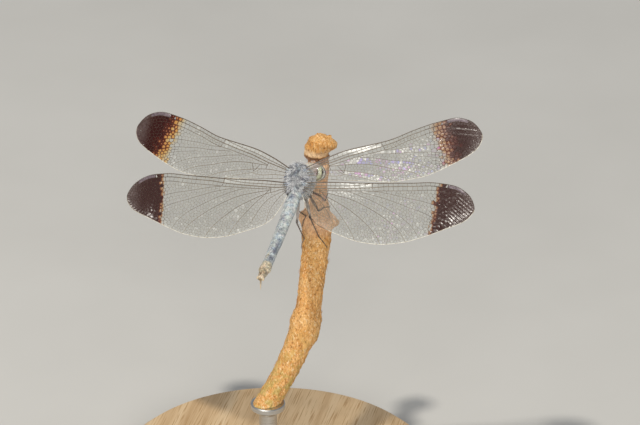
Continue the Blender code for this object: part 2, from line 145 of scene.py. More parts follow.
# Legs: hip, knee, ankle, toe
LEG_POINTS = {
    "fore_left": ((-0.7, 1.35, -3.3), (-1.46, 4, -4.5), (-1.06, 5.4, -6.56), (-1.13, 5.2, -7.98)),
    "fore_right": ((0.7, 1.35, -3.3), (3.3, -0.6, -2.9), (2.41, 3.16, -7.46), (2.18, 5.3, -7.7)),
    "mid_left": ((-0.95, 0.35, -3.35), (-1.2, -0.9, -5.9), (-0.7, 0.5, -8.4), (-1.1, 0.1, -10.2)),
    "mid_right": ((0.95, 0.3, -3.35), (2.65, -1.63, -5.35), (2.43, 1.96, -7.83), (2.5, 3.4, -9)),
    "hind_left": ((-0.6, -0.75, -3.3), (0.02, -5.7, -4.26), (-1.26, -2.54, -10.74), (-2, -1.9, -13.2)),
    "hind_right": ((0.7, -0.8, -3.3), (2.28, -4.94, -3.83), (1.82, -2.21, -10.69), (2.51, -2.05, -13.1)),
}

# Camera, in metres and degrees
CAMERA_AT, CAMERA_AZIMUTH, CAMERA_ELEVATION, LENS = (-0.18109, 0.75721, 0.46833), 192.9, 28, 300

# Twig: middle line and radius, then swellings and hollows: height, side in degrees, rise, along, around
TWIG_PATH = (
    (0.3, 4.3, TWIG_FOOT_Z, 2), (-0.9, 2.7, 22.9, 2), (-2.7, 0.3, 26.6, 2.1),
    (-3.5, -1.2, 29, 2.2), (-4.4, -2.5, 31.1, 2.5), (-4.6, -3.6, 32.9, 2.5),
    (-4.7, -4.6, 34.7, 2.1), (-4.7, -6.5, 38.2, 2.1), (-4.8, -8.5, 41.9, 2.15),
    (-4.8, -9.8, 44.3, 2.4), (-4.6, -11.2, 47, 2.5), (-4.6, -12.4, 49, 1.65),
    (-4.2, -13.7, 51.1, 1.5), (-3.95, -15.3, 53.3, 1.5), (-3.95, -16.3, 55, 1.55),
    (-3.6, -16.7, 56.2, 1.7), (-3.55, -16.9, 56.9, 2.05), (-3.65, -17, 57.5, 2),
    (-3.78, -17.1, 58.1, 2.1), (-3.92, -17.2, 58.8, 2.15), (-4.06, -17.35, 59.5, 2.2),
    (-4.15, -17.5, 60.15, 1.35),
)
TWIG_KNOBS = (
    (47.7, 5, 1.35, 1.15, 38), (48.2, 188, 1.1, 1.1, 34),
    (57.6, 180, 0.5, 1.1, 60), (57.7, 0, -0.5, 0.7, 60), (59.35, 0, 0.4, 0.75, 50),
    (32.2, 190, 0.3, 1, 40),
)


# ---------------------------------------------------------------- shapes

def placed(matrix, points):
    """Points moved by a 4 by 4 matrix."""
    matrix = np.array(matrix)
    return np.asarray(points, float) @ matrix[:3, :3].T + matrix[:3, 3]


def turned(matrix, directions):
    """Directions turned by a 4 by 4 matrix."""
    return np.asarray(directions, float) @ np.array(matrix)[:3, :3].T


def unit(vectors):
    length = np.linalg.norm(vectors, axis=-1, keepdims=True)
    return vectors / np.maximum(length, 1e-12)


def bell(value, middle, width):
    return np.exp(-(((np.asarray(value, float) - middle) / width) ** 2))


def step(value, low, high):
    """0 below low and 1 above high, with a smooth rise between."""
    share = np.clip((np.asarray(value, float) - low) / (high - low), 0, 1)
    return share * share * (3 - 2 * share)


def band(value, low, full, fading, high):
    """0 below low and above high and 1 from full to fading, with smooth slopes."""
    return step(value, low, full) * step(value, high, fading)


def smooth_curve(xs, ys, at):
    """Curve through points with no overshoot (monotone Hermite)."""
    xs, ys, at = np.asarray(xs, float), np.asarray(ys, float), np.asarray(at, float)
    rise = np.diff(ys) / np.diff(xs)
    before, after = rise[:-1], rise[1:]
    same = before * after > 0
    total = np.where(same, before + after, 1)
    inner = np.where(same, 2 * before * after / total, 0)
    slope = np.concatenate(([rise[0]], inner, [rise[-1]]))
    i = np.clip(np.searchsorted(xs, at, side="right") - 1, 0, len(xs) - 2)
    width = xs[i + 1] - xs[i]
    t = (at - xs[i]) / width
    return (
        (2 * t**3 - 3 * t**2 + 1) * ys[i]
        + (t**3 - 2 * t**2 + t) * width * slope[i]
        + (3 * t**2 - 2 * t**3) * ys[i + 1]
        + (t**3 - t**2) * width * slope[i + 1]
    )


def roughness_at(points, scale, octaves=3):
    """Fractal noise from about -1 to 1 at each point, with features about 1 / scale across."""
    return np.array([
        noise.fractal(Vector(p), 0.9, 2.1, octaves) for p in np.asarray(points) * scale
    ])


def full_turn(count):
    """Evenly spaced angles of a full turn."""
    return 2 * np.pi * np.arange(count) / count


def wrap_uv(rows, sides):
    """Map of a grid of closed rows: the share of the turn, then the share of the length."""
    uv = np.meshgrid(np.linspace(0, 1, rows), np.arange(sides) / sides, indexing="ij")
    return np.stack(uv[::-1], -1).reshape(-1, 2)


def along_line(stops, places, line):
    """Points at stops along a line whose points are at these places."""
    return np.stack([np.interp(stops, places, column) for column in np.transpose(line)], -1)


def linked(name, data):
    thing = bpy.data.objects.new(name, data)
    bpy.context.scene.collection.objects.link(thing)
    return thing


def draw(random, count, *spans):
    """As many random numbers from each span."""
    return [random.uniform(low, high, count) for low, high in spans]


class Shape:
    """Points in millimetres and faces gathered for one mesh, with values at each point."""

    def __init__(self):
        self.points, self.faces, self.layers, self.count = [], [], {}, 0

    def add(self, points, faces, **layers):
        points = np.asarray(points, float).reshape(-1, 3)
        for key, value in layers.items():
            wide = (len(points), 2) if key == "uv" else (len(points),)
            self.layers.setdefault(key, []).append(np.broadcast_to(np.asarray(value, float), wide))
        self.points.append(points)
        if isinstance(faces, np.ndarray):
            self.faces.extend((faces + self.count).tolist())
        else:
            self.faces.extend([i + self.count for i in face] for face in faces)
        self.count += len(points)


def add_piece(name, shape, material, replaces=(), around=True):
    """Mesh object of a shape, in world millimetres, riding on the one body."""
    mesh = bpy.data.meshes.new(name)
    mesh.from_pydata(np.concatenate(shape.points) * MM, [], shape.faces)
    for key, parts in shape.layers.items():
        values = np.concatenate(parts)
        if key != "uv":
            mesh.attributes.new(key, "FLOAT", "POINT").data.foreach_set("value", values)
            continue
        corner = np.zeros(len(mesh.loops), np.int32)
        mesh.loops.foreach_get("vertex_index", corner)
        start = np.zeros(len(mesh.polygons), np.int32)
        mesh.polygons.foreach_get("loop_start", start)
        uv = values[corner]
        if around:  # a face over the seam of a closed turn runs past its end
            low, high = np.minimum.reduceat(uv[:, 0], start), np.maximum.reduceat(uv[:, 0], start)
            turns = np.repeat(high - low > 0.5, np.diff(np.append(start, len(corner))))
            uv[:, 0] += turns & (uv[:, 0] < 0.5)
            uv[:, 0] *= 0.96
        mesh.uv_layers.new(name="OFBake").data.foreach_set("uv", uv.ravel())
    mesh.shade_smooth()
    mesh.materials.append(material)
    piece = linked(name, mesh)
    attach(piece, "root")
    if replaces:
        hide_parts(*replaces)
    return piece


def grid_faces(rows, sides):
    """Faces of a grid of closed rows of points, each row joined to the next."""
    i, j = np.meshgrid(np.arange(rows - 1), np.arange(sides), indexing="ij")
    k = (j + 1) % sides
    quads = np.stack((i * sides + j, i * sides + k, (i + 1) * sides + k, (i + 1) * sides + j), -1)
    return quads.reshape(-1, 4)


def closed_faces(rows, sides, turned_over=False):
    """Faces of a grid of closed rows whose first and last rows are closed off as well."""
    faces = grid_faces(rows, sides).tolist()
    faces += [list(range(sides))[::-1], list(range((rows - 1) * sides, rows * sides))]
    return [face[::-1] for face in faces] if turned_over else faces


def tube(path, radii, sides, across=None):
    """Rows of points of a round tube along a path, each square to it."""
    path, radii = np.asarray(path, float), np.asarray(radii, float)
    along = unit(np.gradient(path, axis=0))
    if across is None:
        across = np.array(Vector(along[0]).orthogonal())
    rows, turn = [], full_turn(sides)
    for at, way, radius in zip(path, along, radii):
        across = unit(across - way * across.dot(way))
        other = np.cross(way, across)
        rows.append(at + (np.outer(np.cos(turn), across) + np.outer(np.sin(turn), other)) * radius)
    return np.array(rows)


def add_rows(shape, rows, **layers):
    """Adds a tube of rows of points, with both ends closed."""
    count, sides = rows.shape[:2]
    for key, value in layers.items():
        if np.ndim(value) and key != "uv":
            layers[key] = np.broadcast_to(np.asarray(value)[:, None], (count, sides)).ravel()
    shape.add(rows, closed_faces(count, sides), **layers)


def add_ball(shape, centre, sizes, matrix=None, rows=12, sides=16, **layers):
    """Adds an ellipsoid with half sizes along its three axes."""
    lift = np.linspace(-np.pi / 2, np.pi / 2, rows + 2)[1:-1]
    turn = full_turn(sides)
    ring = np.stack((np.cos(turn), np.sin(turn)), -1)
    points = np.concatenate([
        np.column_stack((ring * cos(a), np.full(sides, sin(a)))) for a in lift
    ])
    points = np.concatenate((points, [(0, 0, -1), (0, 0, 1)])) * np.asarray(sizes)
    if matrix is not None:
        points = turned(matrix, points)
    faces = grid_faces(rows, sides).tolist()
    low, high = rows * sides, rows * sides + 1
    faces += [[low, (j + 1) % sides, j] for j in range(sides)]
    last = (rows - 1) * sides
    faces += [[high, last + j, last + (j + 1) % sides] for j in range(sides)]
    shape.add(points + np.asarray(centre, float), faces, **layers)


def add_tufts(shape, matrix, roots, out, comb, lengths, radius, lift, uv, **layers):
    """Adds tapered three-sided tufts that leave each root along out and bend over as combed."""
    count = len(roots)
    lie = unit(comb - out * (comb * out).sum(1)[:, None])
    roots, out, lie = placed(matrix, roots), turned(matrix, out), turned(matrix, lie)
    side = unit(np.cross(out, lie))
    levels = ((0, 1), (0.4, 0.85), (0.75, 0.5))
    lift = np.broadcast_to(np.asarray(lift, float), (count,))[:, None]
    size = np.broadcast_to(np.asarray(radius, float), (count,))[:, None]
    lengths = np.asarray(lengths)[:, None]

    def reach(t):
        return roots + lengths * (out * lift * t * (1.3 - 0.8 * t) + lie * t * (0.45 + 0.55 * t))

    points = np.zeros((count, 10, 3))
    for level, (t, narrow) in enumerate(levels):
        way = unit(reach(t + 0.1) - reach(t - 0.1))
        cross = unit(np.cross(way, side))
        for k in range(3):
            turn = 2 * pi * k / 3
            offset = (side * cos(turn) + cross * sin(turn)) * size * narrow
            points[:, level * 3 + k] = reach(t) + offset
    points[:, 9] = reach(1)
    faces = [
        (a + j, a + (j + 1) % 3, b + (j + 1) % 3, b + j)
        for a, b in ((0, 3), (3, 6)) for j in range(3)
    ]
    patch = np.array([(0.001 * (k % 3 - 1), 0.001 * (k // 3 - 1)) for k in range(10)])
    base = np.arange(count)[:, None, None] * 10
    all_faces = (base + np.array(faces)).reshape(-1, 4).tolist()
    tips = np.array([(6, 7, 9), (7, 8, 9), (8, 6, 9)])
    all_faces += (base + tips).reshape(-1, 3).tolist()
    spread = {
        key: np.repeat(np.broadcast_to(np.asarray(value, float), (count,)), 10)
        for key, value in layers.items()
    }
    spread["tip"] = np.tile([t for t, _ in levels for _ in range(3)] + [1], count)
    uv = (np.asarray(uv)[:, None, :] + patch[None]).reshape(-1, 2)
    shape.add(points.reshape(-1, 3), all_faces, uv=uv, **spread)


# ---------------------------------------------------------------- materials

class Look:
    """A node material with short ways to add nodes; a value can be a number, a colour or a socket."""

    def __init__(self, name, **settings):
        self.material = bpy.data.materials.new(name)
        self.material.use_nodes = True
        self.tree = self.material.node_tree
        self.shader = self.tree.nodes["Principled BSDF"]
        self.place = self.node("ShaderNodeTexCoord").outputs["Object"]
        for key, value in settings.items():
            self.put(self.shader.inputs[key.replace("_", " ")], value)

    def put(self, socket, value):
        if isinstance(value, bpy.types.NodeSocket):
            self.tree.links.new(value, socket)
        elif isinstance(value, (tuple, list)) and len(value) == 3 and socket.type == "RGBA":
            socket.default_value = (*value, 1)
        else:
            socket.default_value = value

    def node(self, kind, inputs=(), **settings):
        node = self.tree.nodes.new(kind)
        for key, value in settings.items():
            setattr(node, key, value)
        for key, value in dict(inputs).items():
            self.put(node.inputs[key], value)
        return node

    def set(self, **inputs):
        for key, value in inputs.items():
            self.put(self.shader.inputs[key.replace("_", " ")], value)
        return self.material

    def value(self, name):
        return self.node("ShaderNodeAttribute", attribute_name=name).outputs["Fac"]

    def math(self, operation, a, b=0, c=0):
        return self.node("ShaderNodeMath", {0: a, 1: b, 2: c}, operation=operation).outputs[0]

    def times(self, a, b):
        return self.math("MULTIPLY", a, b)

    def plus(self, a, b):
        return self.math("ADD", a, b)

    def scale(self, a, b, c):
        """a times b, plus c."""
        return self.math("MULTIPLY_ADD", a, b, c)

    def blend(self, share, a, b, kind="MIX"):
        node = self.node("ShaderNodeMix", data_type="RGBA", blend_type=kind)
        for socket, value in ((0, share), (6, a), (7, b)):
            self.put(node.inputs[socket], value)
        return node.outputs[2]

    def ramp(self, share, *stops):
        """Maps a number through (place, grey or colour) stops."""
        node = self.node("ShaderNodeValToRGB", {"Fac": share})
        points = node.color_ramp.elements
        while len(points) < len(stops):
            points.new(0.5)
        for point, (place, colour) in zip(points, stops):
            point.position = place
            colour = (colour,) * 3 if isinstance(colour, (int, float)) else colour
            point.color = (*colour, 1)
        return node.outputs["Color"]

    def mottle(self, pattern, low, high):
        """From low in the hollows of a noise pattern to high on its crests."""
        return self.ramp(pattern, (0.35, low), (0.65, high))

    def rise(self, share, low, high):
        """0 at low and 1 at high, smoothly."""
        node = self.node(
            "ShaderNodeMapRange",
            {"Value": share, "From Min": low, "From Max": high},
            interpolation_type="SMOOTHSTEP",
        )
        return node.outputs["Result"]

    def stretched(self, x, y, z):
        return self.node(
            "ShaderNodeMapping", {"Vector": self.place, "Scale": (x, y, z)}
        ).outputs["Vector"]

    def noise(self, per_mm, detail=3, vector=None, roughness=0.55, distortion=0):
        """Noise with about this many features to the millimetre."""
        inputs = {"Scale": per_mm / MM, "Detail": detail, "Roughness": roughness,
                  "Distortion": distortion, "Vector": vector or self.place}
        return self.node("ShaderNodeTexNoise", inputs).outputs["Fac"]

    def cells(self, per_mm, vector=None, randomness=1):
        inputs = {"Scale": per_mm / MM, "Randomness": randomness, "Vector": vector or self.place}
        return self.node("ShaderNodeTexVoronoi", inputs).outputs["Distance"]

    def bump(self, height, depth, strength=1):
        """Normal of a bump with this depth in millimetres."""
        inputs = {"Height": height, "Distance": depth * MM, "Strength": strength}
        return self.node("ShaderNodeBump", inputs).outputs["Normal"]


def maple_look():
    look = Look("maple", Specular_IOR_Level=0.35)
    grain = look.noise(0.35, 5, look.stretched(1, 0.06, 1), distortion=0.4)
    lines = look.noise(5, 2, look.stretched(1, 0.03, 1))
    colour = look.ramp(
        grain, (0.3, (0.5, 0.33, 0.17)), (0.5, (0.62, 0.44, 0.25)), (0.7, (0.7, 0.53, 0.33)))
    colour = look.blend(look.rise(lines, 0.5, 0.68), colour, (0.42, 0.26, 0.12))
    rough = look.ramp(lines, (0.3, 0.42), (0.7, 0.58))
    return look.set(Base_Color=colour, Roughness=rough, Normal=look.bump(lines, 0.05, 0.35))


def steel_look():
    look = Look("satin_steel", Metallic=1)
    turning = look.noise(9, 2, look.stretched(0.05, 0.05, 1))
    colour = look.ramp(turning, (0.3, (0.5, 0.5, 0.49)), (0.7, (0.66, 0.66, 0.64)))
    rough = look.ramp(turning, (0.3, 0.26), (0.7, 0.4))
    return look.set(Base_Color=colour, Roughness=rough, Normal=look.bump(turning, 0.01, 0.4))


def bark_look():
    """Dry orange bark: pale fibres and grains, small dark pores, greenish patches low down."""
    look = Look("bark", Specular_IOR_Level=0.3)
    patches = look.noise(0.35, 4)
    fibres = look.noise(2.6, 4, look.stretched(1, 1, 0.22), distortion=0.6)
    grains = look.cells(3.2, vector=look.stretched(1, 1, 0.6))
    specks = look.noise(3.6, 4, look.stretched(1, 1, 0.5), distortion=0.5)
    threads = look.noise(9, 2, look.stretched(1, 1, 0.12))
    colour = look.ramp(
        patches, (0.3, (0.58, 0.245, 0.06)), (0.47, (0.71, 0.34, 0.095)),
        (0.58, (0.78, 0.41, 0.135)), (0.72, (0.74, 0.41, 0.165)),
    )
    for pattern, first, last, layer in (
        (fibres, (0.42, 0), (0.62, 0.6), (0.86, 0.53, 0.2)),
        (specks, (0.55, 0), (0.65, 0.8), (0.95, 0.72, 0.43)),
        (specks, (0.35, 0.75), (0.43, 0), (0.22, 0.08, 0.022)),
        (threads, (0.36, 0.5), (0.48, 0), (0.44, 0.19, 0.05)),
    ):
        colour = look.blend(look.ramp(pattern, first, last), colour, layer)
    height = look.node("ShaderNodeSeparateXYZ", {0: look.place}).outputs["Z"]
    for low, full, fading, top, share, layer in (  # painted light on the neck, a pale band round the rim, and a painted shadow as a dark seam under the top swelling
        (45, 48, 56.5, 57.5, 0.55, (0.95, 0.62, 0.42)),
        (57.2, 57.6, 57.9, 58.6, 0.5, (0.97, 0.76, 0.52)),
        (55.6, 56.3, 57.1, 57.4, 0.6, (0.2, 0.06, 0.03)),
    ):
        band = look.times(
            look.rise(height, low * MM, full * MM), look.rise(height, top * MM, fading * MM))
        colour = look.blend(look.times(band, share), colour, layer)
    low = look.rise(height, 36 * MM, 22 * MM)
    moss = look.times(low, look.rise(look.noise(0.8, 3), 0.42, 0.62))
    colour = look.blend(look.times(moss, 0.6), colour, (0.48, 0.4, 0.12))
    # dark pores, and painted shade in cracks, between fibres and under the overhang of the top swelling
    colour = look.blend(look.rise(look.value("hollow"), 0.4, 1.2), colour, (0.12, 0.032, 0.012))
    wood = look.ramp(look.noise(3, 3), (0.3, (0.55, 0.38, 0.2)), (0.7, (0.72, 0.54, 0.32)))
    colour = look.blend(look.value("sawn"), colour, wood)
    height = look.scale(fibres, 0.6, look.times(grains, 0.7))
    height = look.scale(specks, 0.9, look.scale(threads, 0.5, height))
    rough = look.ramp(specks, (0.4, 0.85), (0.7, 0.5))
    return look.set(Base_Color=colour, Roughness=rough, Normal=look.bump(height, 0.16, 1))


def bloom_colour(look, pale, deep):
    """Waxy bloom over dark cuticle: thin where dark is high, tan where tan is high."""
    mottle = look.noise(1.6, 4, distortion=0.5)
    fine = look.noise(6, 3)
    dark = look.plus(look.value("dark"), look.scale(mottle, 1.7, -0.8))
    dark = look.plus(dark, look.scale(fine, 1, -0.5))
    colour = look.blend(look.rise(dark, -0.3, 1), pale, deep)
    tan = look.plus(look.value("tan"), look.scale(mottle, 0.5, -0.25))
    buff = look.ramp(fine, (0.35, (0.38, 0.29, 0.18)), (0.6, (0.64, 0.56, 0.41)))
    buff = look.blend(look.rise(dark, 0.35, 1.1), buff, (0.16, 0.1, 0.06))
    return look.blend(look.rise(tan, 0.3, 0.75), colour, buff), fine


def skin_look():
    look = Look("bloom_skin", Specular_IOR_Level=0.35)
    colour, fine = bloom_colour(look, (0.5, 0.53, 0.525), (0.17, 0.18, 0.22))
    tint = look.noise(0.9, 3)
    blue = look.blend(look.rise(tint, 0.45, 0.62), (0.98, 1, 0.95), (0.86, 0.94, 1.02))
    lilac = look.rise(look.noise(1.3, 3), 0.48, 0.66)
    blue = look.blend(lilac, blue, (1.06, 0.97, 0.97))
    colour = look.blend(1, colour, blue, "MULTIPLY")
    patches = look.rise(look.noise(2.3, 3, distortion=0.9), 0.4, 0.6)
    patches = look.blend(patches, (0.66, 0.67, 0.7), (1.36, 1.36, 1.33))
    colour = look.blend(1, colour, patches, "MULTIPLY")
    rough = look.mottle(fine, 0.5, 0.72)
    grain = look.scale(look.cells(9), 0.5, fine)
    return look.set(Base_Color=colour, Roughness=rough, Normal=look.bump(grain, 0.03, 0.6))


def coat_look():
    look = Look("pale_hair", Roughness=0.42, Specular_IOR_Level=0.5)
    colour, _ = bloom_colour(look, (0.68, 0.69, 0.71), (0.19, 0.19, 0.22))
    tip, bare = look.value("tip"), look.value("dark")
    tip = look.times(look.rise(tip, 0.1, 0.9), look.rise(bare, 0.9, 0.1))
    return look.set(Base_Color=look.blend(tip, colour, (0.9, 0.9, 0.9)))


def shell_look(name, pale, deep, gloss=0.4):
    """Hard cuticle, mottled between two colours; the dark value of a mesh darkens it."""
    look = Look(name, Specular_IOR_Level=0.5)
    mottle = look.noise(2.2, 4, distortion=0.4)
    fine = look.noise(9, 2)
    dark = look.plus(look.value("dark"), look.scale(mottle, 0.8, -0.4))
    colour = look.blend(look.rise(dark, 0, 1), pale, deep)
    rough = look.mottle(fine, gloss - 0.08, gloss + 0.12)
    return look.set(Base_Color=colour, Roughness=rough, Normal=look.bump(fine, 0.02, 0.5))


# ---------------------------------------------------------------- stand and twig

def add_turned(name, profile, at, sides, material, screws=()):
    """A turned piece round a vertical line, in place of a node of the stand."""
    profile, turn = np.array(profile), full_turn(sides)
    rows = np.zeros((len(profile), sides, 3))
    rows[..., 0] = at[0] + profile[:, :1] * np.cos(turn)
    rows[..., 1] = at[1] + profile[:, :1] * np.sin(turn)
    rows[..., 2] = profile[:, 1:]
    shape = Shape()
    add_rows(shape, rows)
    for centre in screws:
        add_ball(shape, centre, (0.42, 0.42, 0.1), rows=6, sides=20)
    piece = add_piece(name + "_turned", shape, material, (name,))
    piece.data.set_sharp_from_angle(angle=radians(35))


def build_base():
    """A foot chamfer, a straight rim, a rolled bead and a cove below the flat top."""
    radius, height, bead, cove = BASE_RADIUS, BASE_HEIGHT, 0.85, 0.7
    profile = [(radius - 0.7, 0), (radius - 0.15, 0.25), (radius, 0.7), (radius, 2.4), (radius - 0.35, 2.75)]
    middle = height - 1.2 - bead
    for a in np.radians(np.linspace(-90, 90, 13)):
        profile.append((radius - 0.95 + bead * cos(a), middle + 0.15 + bead * sin(a)))
    for a in np.radians(np.linspace(180, 90, 8)):
        at = radius - 1.3 - cove + cove * (1 + cos(a)) * 0.3
        profile.append((at, height - cove * 0.55 + cove * 0.5 * sin(a)))
    profile += [(radius - 2.3, height), (6, height)]
    add_turned("stand_base", profile, (0, 0), 160, maple_look())


def build_rod():
    """The rod between its foot flange, with three countersunk screws, and the cup of the twig."""
    low, high = BASE_HEIGHT, TWIG_FOOT_Z - 0.03
    foot, cup = ROD_FOOT_RADIUS, ROD_CUP_RADIUS
    profile = (
        (foot - 0.2, low), (foot, low + 0.2), (foot, low + 0.75), (foot - 0.25, low + 1.05),
        (2.1, low + 1.15), (1.75, low + 1.5), (ROD_RADIUS, low + 1.9), (ROD_RADIUS, high - 2),
        (1.8, high - 1.6), (2.2, high - 1.25), (cup - 0.2, high - 1.1), (cup, high - 0.9),
        (cup, high - 0.15), (cup - 0.15, high),
    )
    x, y, _, _ = TWIG_PATH[0]
    turns = [radians(90 + 120 * k) for k in range(3)]
    screws = [(x + 3 * cos(turn), y + 3 * sin(turn), low + 1.08) for turn in turns]
    add_turned("stand_rod", profile, (x, y), 72, steel_look(), screws)


def twig_reach(height, side, plain):
    """How far the bark stands from the middle line, at a height and a side in degrees."""
    rise = 0
    for at, faces, most, along, around in TWIG_KNOBS:
        away = (side - faces + 180) % 360 - 180
        rise = rise + most * np.exp(-(((height - at) / along) ** 2) - (away / around) ** 2)
    return plain + rise


def twig_line(count):
    """Middle points, directions and plain radii along the twig, evenly spaced."""
    rows = np.array(TWIG_PATH)
    span = np.concatenate(([0], np.cumsum(np.linalg.norm(np.diff(rows[:, :3], axis=0), axis=1))))
    at = np.linspace(0, span[-1], count)
    line = np.stack([smooth_curve(span, rows[:, k], at) for k in range(4)], -1)
    return line[:, :3], unit(np.gradient(line[:, :3], axis=0)), line[:, 3]


def bark_relief(rows, heights):
    """How far the bark stands out and how dark it is painted: fibres, lumps, crust, cracks and pores, with
    painted shade in the cracks, between fibres, in the pores and under the overhang.
    """
    sides = rows.shape[1]
    flat = rows.reshape(-1, 3)
    fibres = roughness_at(flat * (1, 1, 0.18), 2.2, 3)
    lumps = roughness_at(flat, 0.45, 3)
    crust = roughness_at(flat, 1.6, 4)
    cracks = np.abs(roughness_at(flat * (1, 1, 0.4) + 7, 0.9, 2))
    relief = 0.1 * fibres + 0.13 * lumps + 0.09 * crust - 0.07 * bell(cracks, 0, 0.06)
    hollow = bell(cracks, 0, 0.05) * 0.55 + 0.5 * step(-fibres, 0.35, 0.8)
    for index in range(34):  # pores, spread evenly by height and side
        height = 24 + (index * 7.31) % 34
        face = (index * 137.5) % 360
        i = int(np.argmin(np.abs(heights - height)))
        centre = rows[i, int(face / 360 * sides) % sides]
        near = np.linalg.norm(flat - centre, axis=1)
        size = 0.1 + 0.1 * ((index * 0.37) % 1)
        relief += 0.12 * bell(near, size * 1.5, size * 0.6) - 0.22 * bell(near, 0, size)
        hollow = np.maximum(hollow, bell(near, 0, size * 0.9))
    ledge = band(flat[:, 2], 55.4, 56.4, 57.1, 57.35) * step(flat[:, 1], -16.2, -15.2)
    relief -= 0.55 * ledge  # the overhang of the top swelling, over the head
    # painted shadow under the overhang of the top swelling
    hollow = np.maximum(hollow, bell(flat[:, 2], 57.1, 0.25) * step(flat[:, 1], -16, -15))
    return relief.reshape(-1, sides), hollow.reshape(-1, sides)


def build_twig():
    count, sides = 430, 150
    middle, along, plain = twig_line(count)
    right = np.array((-1, 0, 0))
    right = unit(right - along * (along @ right)[:, None])
    back = np.cross(along, right)
    side = 360 * np.arange(sides) / sides
    turn = np.radians(side)
    ring = right[:, None] * np.cos(turn)[:, None] + back[:, None] * np.sin(turn)[:, None]
    reach = twig_reach(middle[:, 2:3], side[None], plain[:, None])
    rows = middle[:, None] + ring * reach[..., None]
    relief, hollow = bark_relief(rows, middle[:, 2])
    rows = rows + ring * relief[..., None]
    rows[0] += along[0] * ((TWIG_FOOT_Z - rows[0, :, 2]) / along[0][2])[:, None]
    shape = Shape()
    # the broken top closes over unevenly
    caps, cap_shade = [], []
    end, way = middle[-1], along[-1]
    for narrow in (0.93, 0.8, 0.62, 0.42, 0.22, 0.06):
        row = end + (rows[-1] - end) * narrow + way * (0.42 * sqrt(1 - narrow**2))
        rough = roughness_at(row, 1.8, 3)
        caps.append(row + way * 0.32 * rough[:, None])
        # painted shade in the recesses of the broken top
        cap_shade.append(np.clip(-rough, 0, 1))
    rows = np.concatenate((rows, np.array(caps)))
    hollow = np.concatenate((hollow, np.array(cap_shade)))
    total = len(rows)
    faces = grid_faces(total, sides).tolist()
    faces.append(list(range((total - 1) * sides, total * sides)))
    shape.add(rows.reshape(-1, 3), faces, hollow=hollow.ravel(), sawn=0, uv=wrap_uv(total, sides))
    # the sawn foot
    centre = rows[0].mean(0)
    shares = np.array((1, 0.7, 0.35, 0.02))[:, None, None]
    discs = (centre + (rows[0] - centre) * shares).reshape(-1, 3)
    uv = (0.5, 0) + (discs[:, :2] - centre[:2]) * 0.02
    shape.add(discs, grid_faces(len(shares), sides)[:, ::-1], hollow=0, sawn=1, uv=uv)
    add_piece("twig_bark", shape, bark_look(), ("twig",))
    return rows[:count], ring


def build_fibres(rows, ring):
    """Loose bark fibres and splinters, rooted in the bark and lying up or down the twig."""
    random, many = np.random.default_rng(11), BARK_FIBRES
    count, sides = rows.shape[:2]
    i = random.integers(6, count - 8, many)
    j = random.integers(0, sides, many)
    out = ring[i, j]
    up = unit(rows[np.minimum(i + 3, count - 1), j] - rows[i, j])
    sign = np.where(random.random(many) < 0.6, 1, -1)[:, None]
    comb = unit(up * sign + 0.35 * np.cross(out, up) * random.normal(size=(many, 1)))
    uv = np.column_stack((j / sides, i / count)) * 0.94 + 0.02
    sizes = draw(random, many, (0.35, 1.1), (0.018, 0.045), (0.05, 0.45))
    shape = Shape()
    add_tufts(
        shape, np.eye(4), rows[i, j] - out * 0.03, out, comb, *sizes, uv,
        hollow=random.uniform(0, 0.5, many), sawn=0,
    )
    add_piece("twig_fibres", shape, bark_look(), around=False)


# ---------------------------------------------------------------- body

def abdomen_at(distance):
    """Middle of the abdomen at a distance along it."""
    start, end = np.array(ABDOMEN_START), np.array(ABDOMEN_END)
    share = np.asarray(distance, float)[..., None] / sum(SEGMENT_LENGTHS)
    sag = ABDOMEN_SAG * np.sin(np.pi * share)
    return start + (end - start) * share - sag * np.array((0, 0, 1))


def abdomen_distance(forward):
    length = ABDOMEN_START[1] - ABDOMEN_END[1]
    return (ABDOMEN_START[1] - forward) / length * sum(SEGMENT_LENGTHS)


def body_table():
    """Rows of forward, sideways, up, half height above and below, half width, taper; tail first."""
    rows = []
    joints = np.concatenate(([0], np.cumsum(SEGMENT_LENGTHS)))
    for distance, wide in reversed(list(zip(joints, JOINT_HALF_WIDTHS))[1:]):
        x, y, z = abdomen_at(distance)
        rows.append((y, x, z, wide * ABDOMEN_DEPTH, wide * ABDOMEN_DEPTH, wide, 0.12))
    x, y, z = abdomen_at(0.25)
    rows.append((y, x, z, 0.92, 0.92, 0.98, 0.1))
    for y, z, up, down, wide in THORAX_SECTIONS:
        if y > -2.9:
            rows.append((y, 0, z, up - COAT_DEPTH, down - COAT_DEPTH, wide - COAT_DEPTH, THORAX_TAPER))
    for y, x, z, radius in NECK_SECTIONS:
        rows.append((y, x, z, radius, radius, radius, 0))
    return np.array(rows)


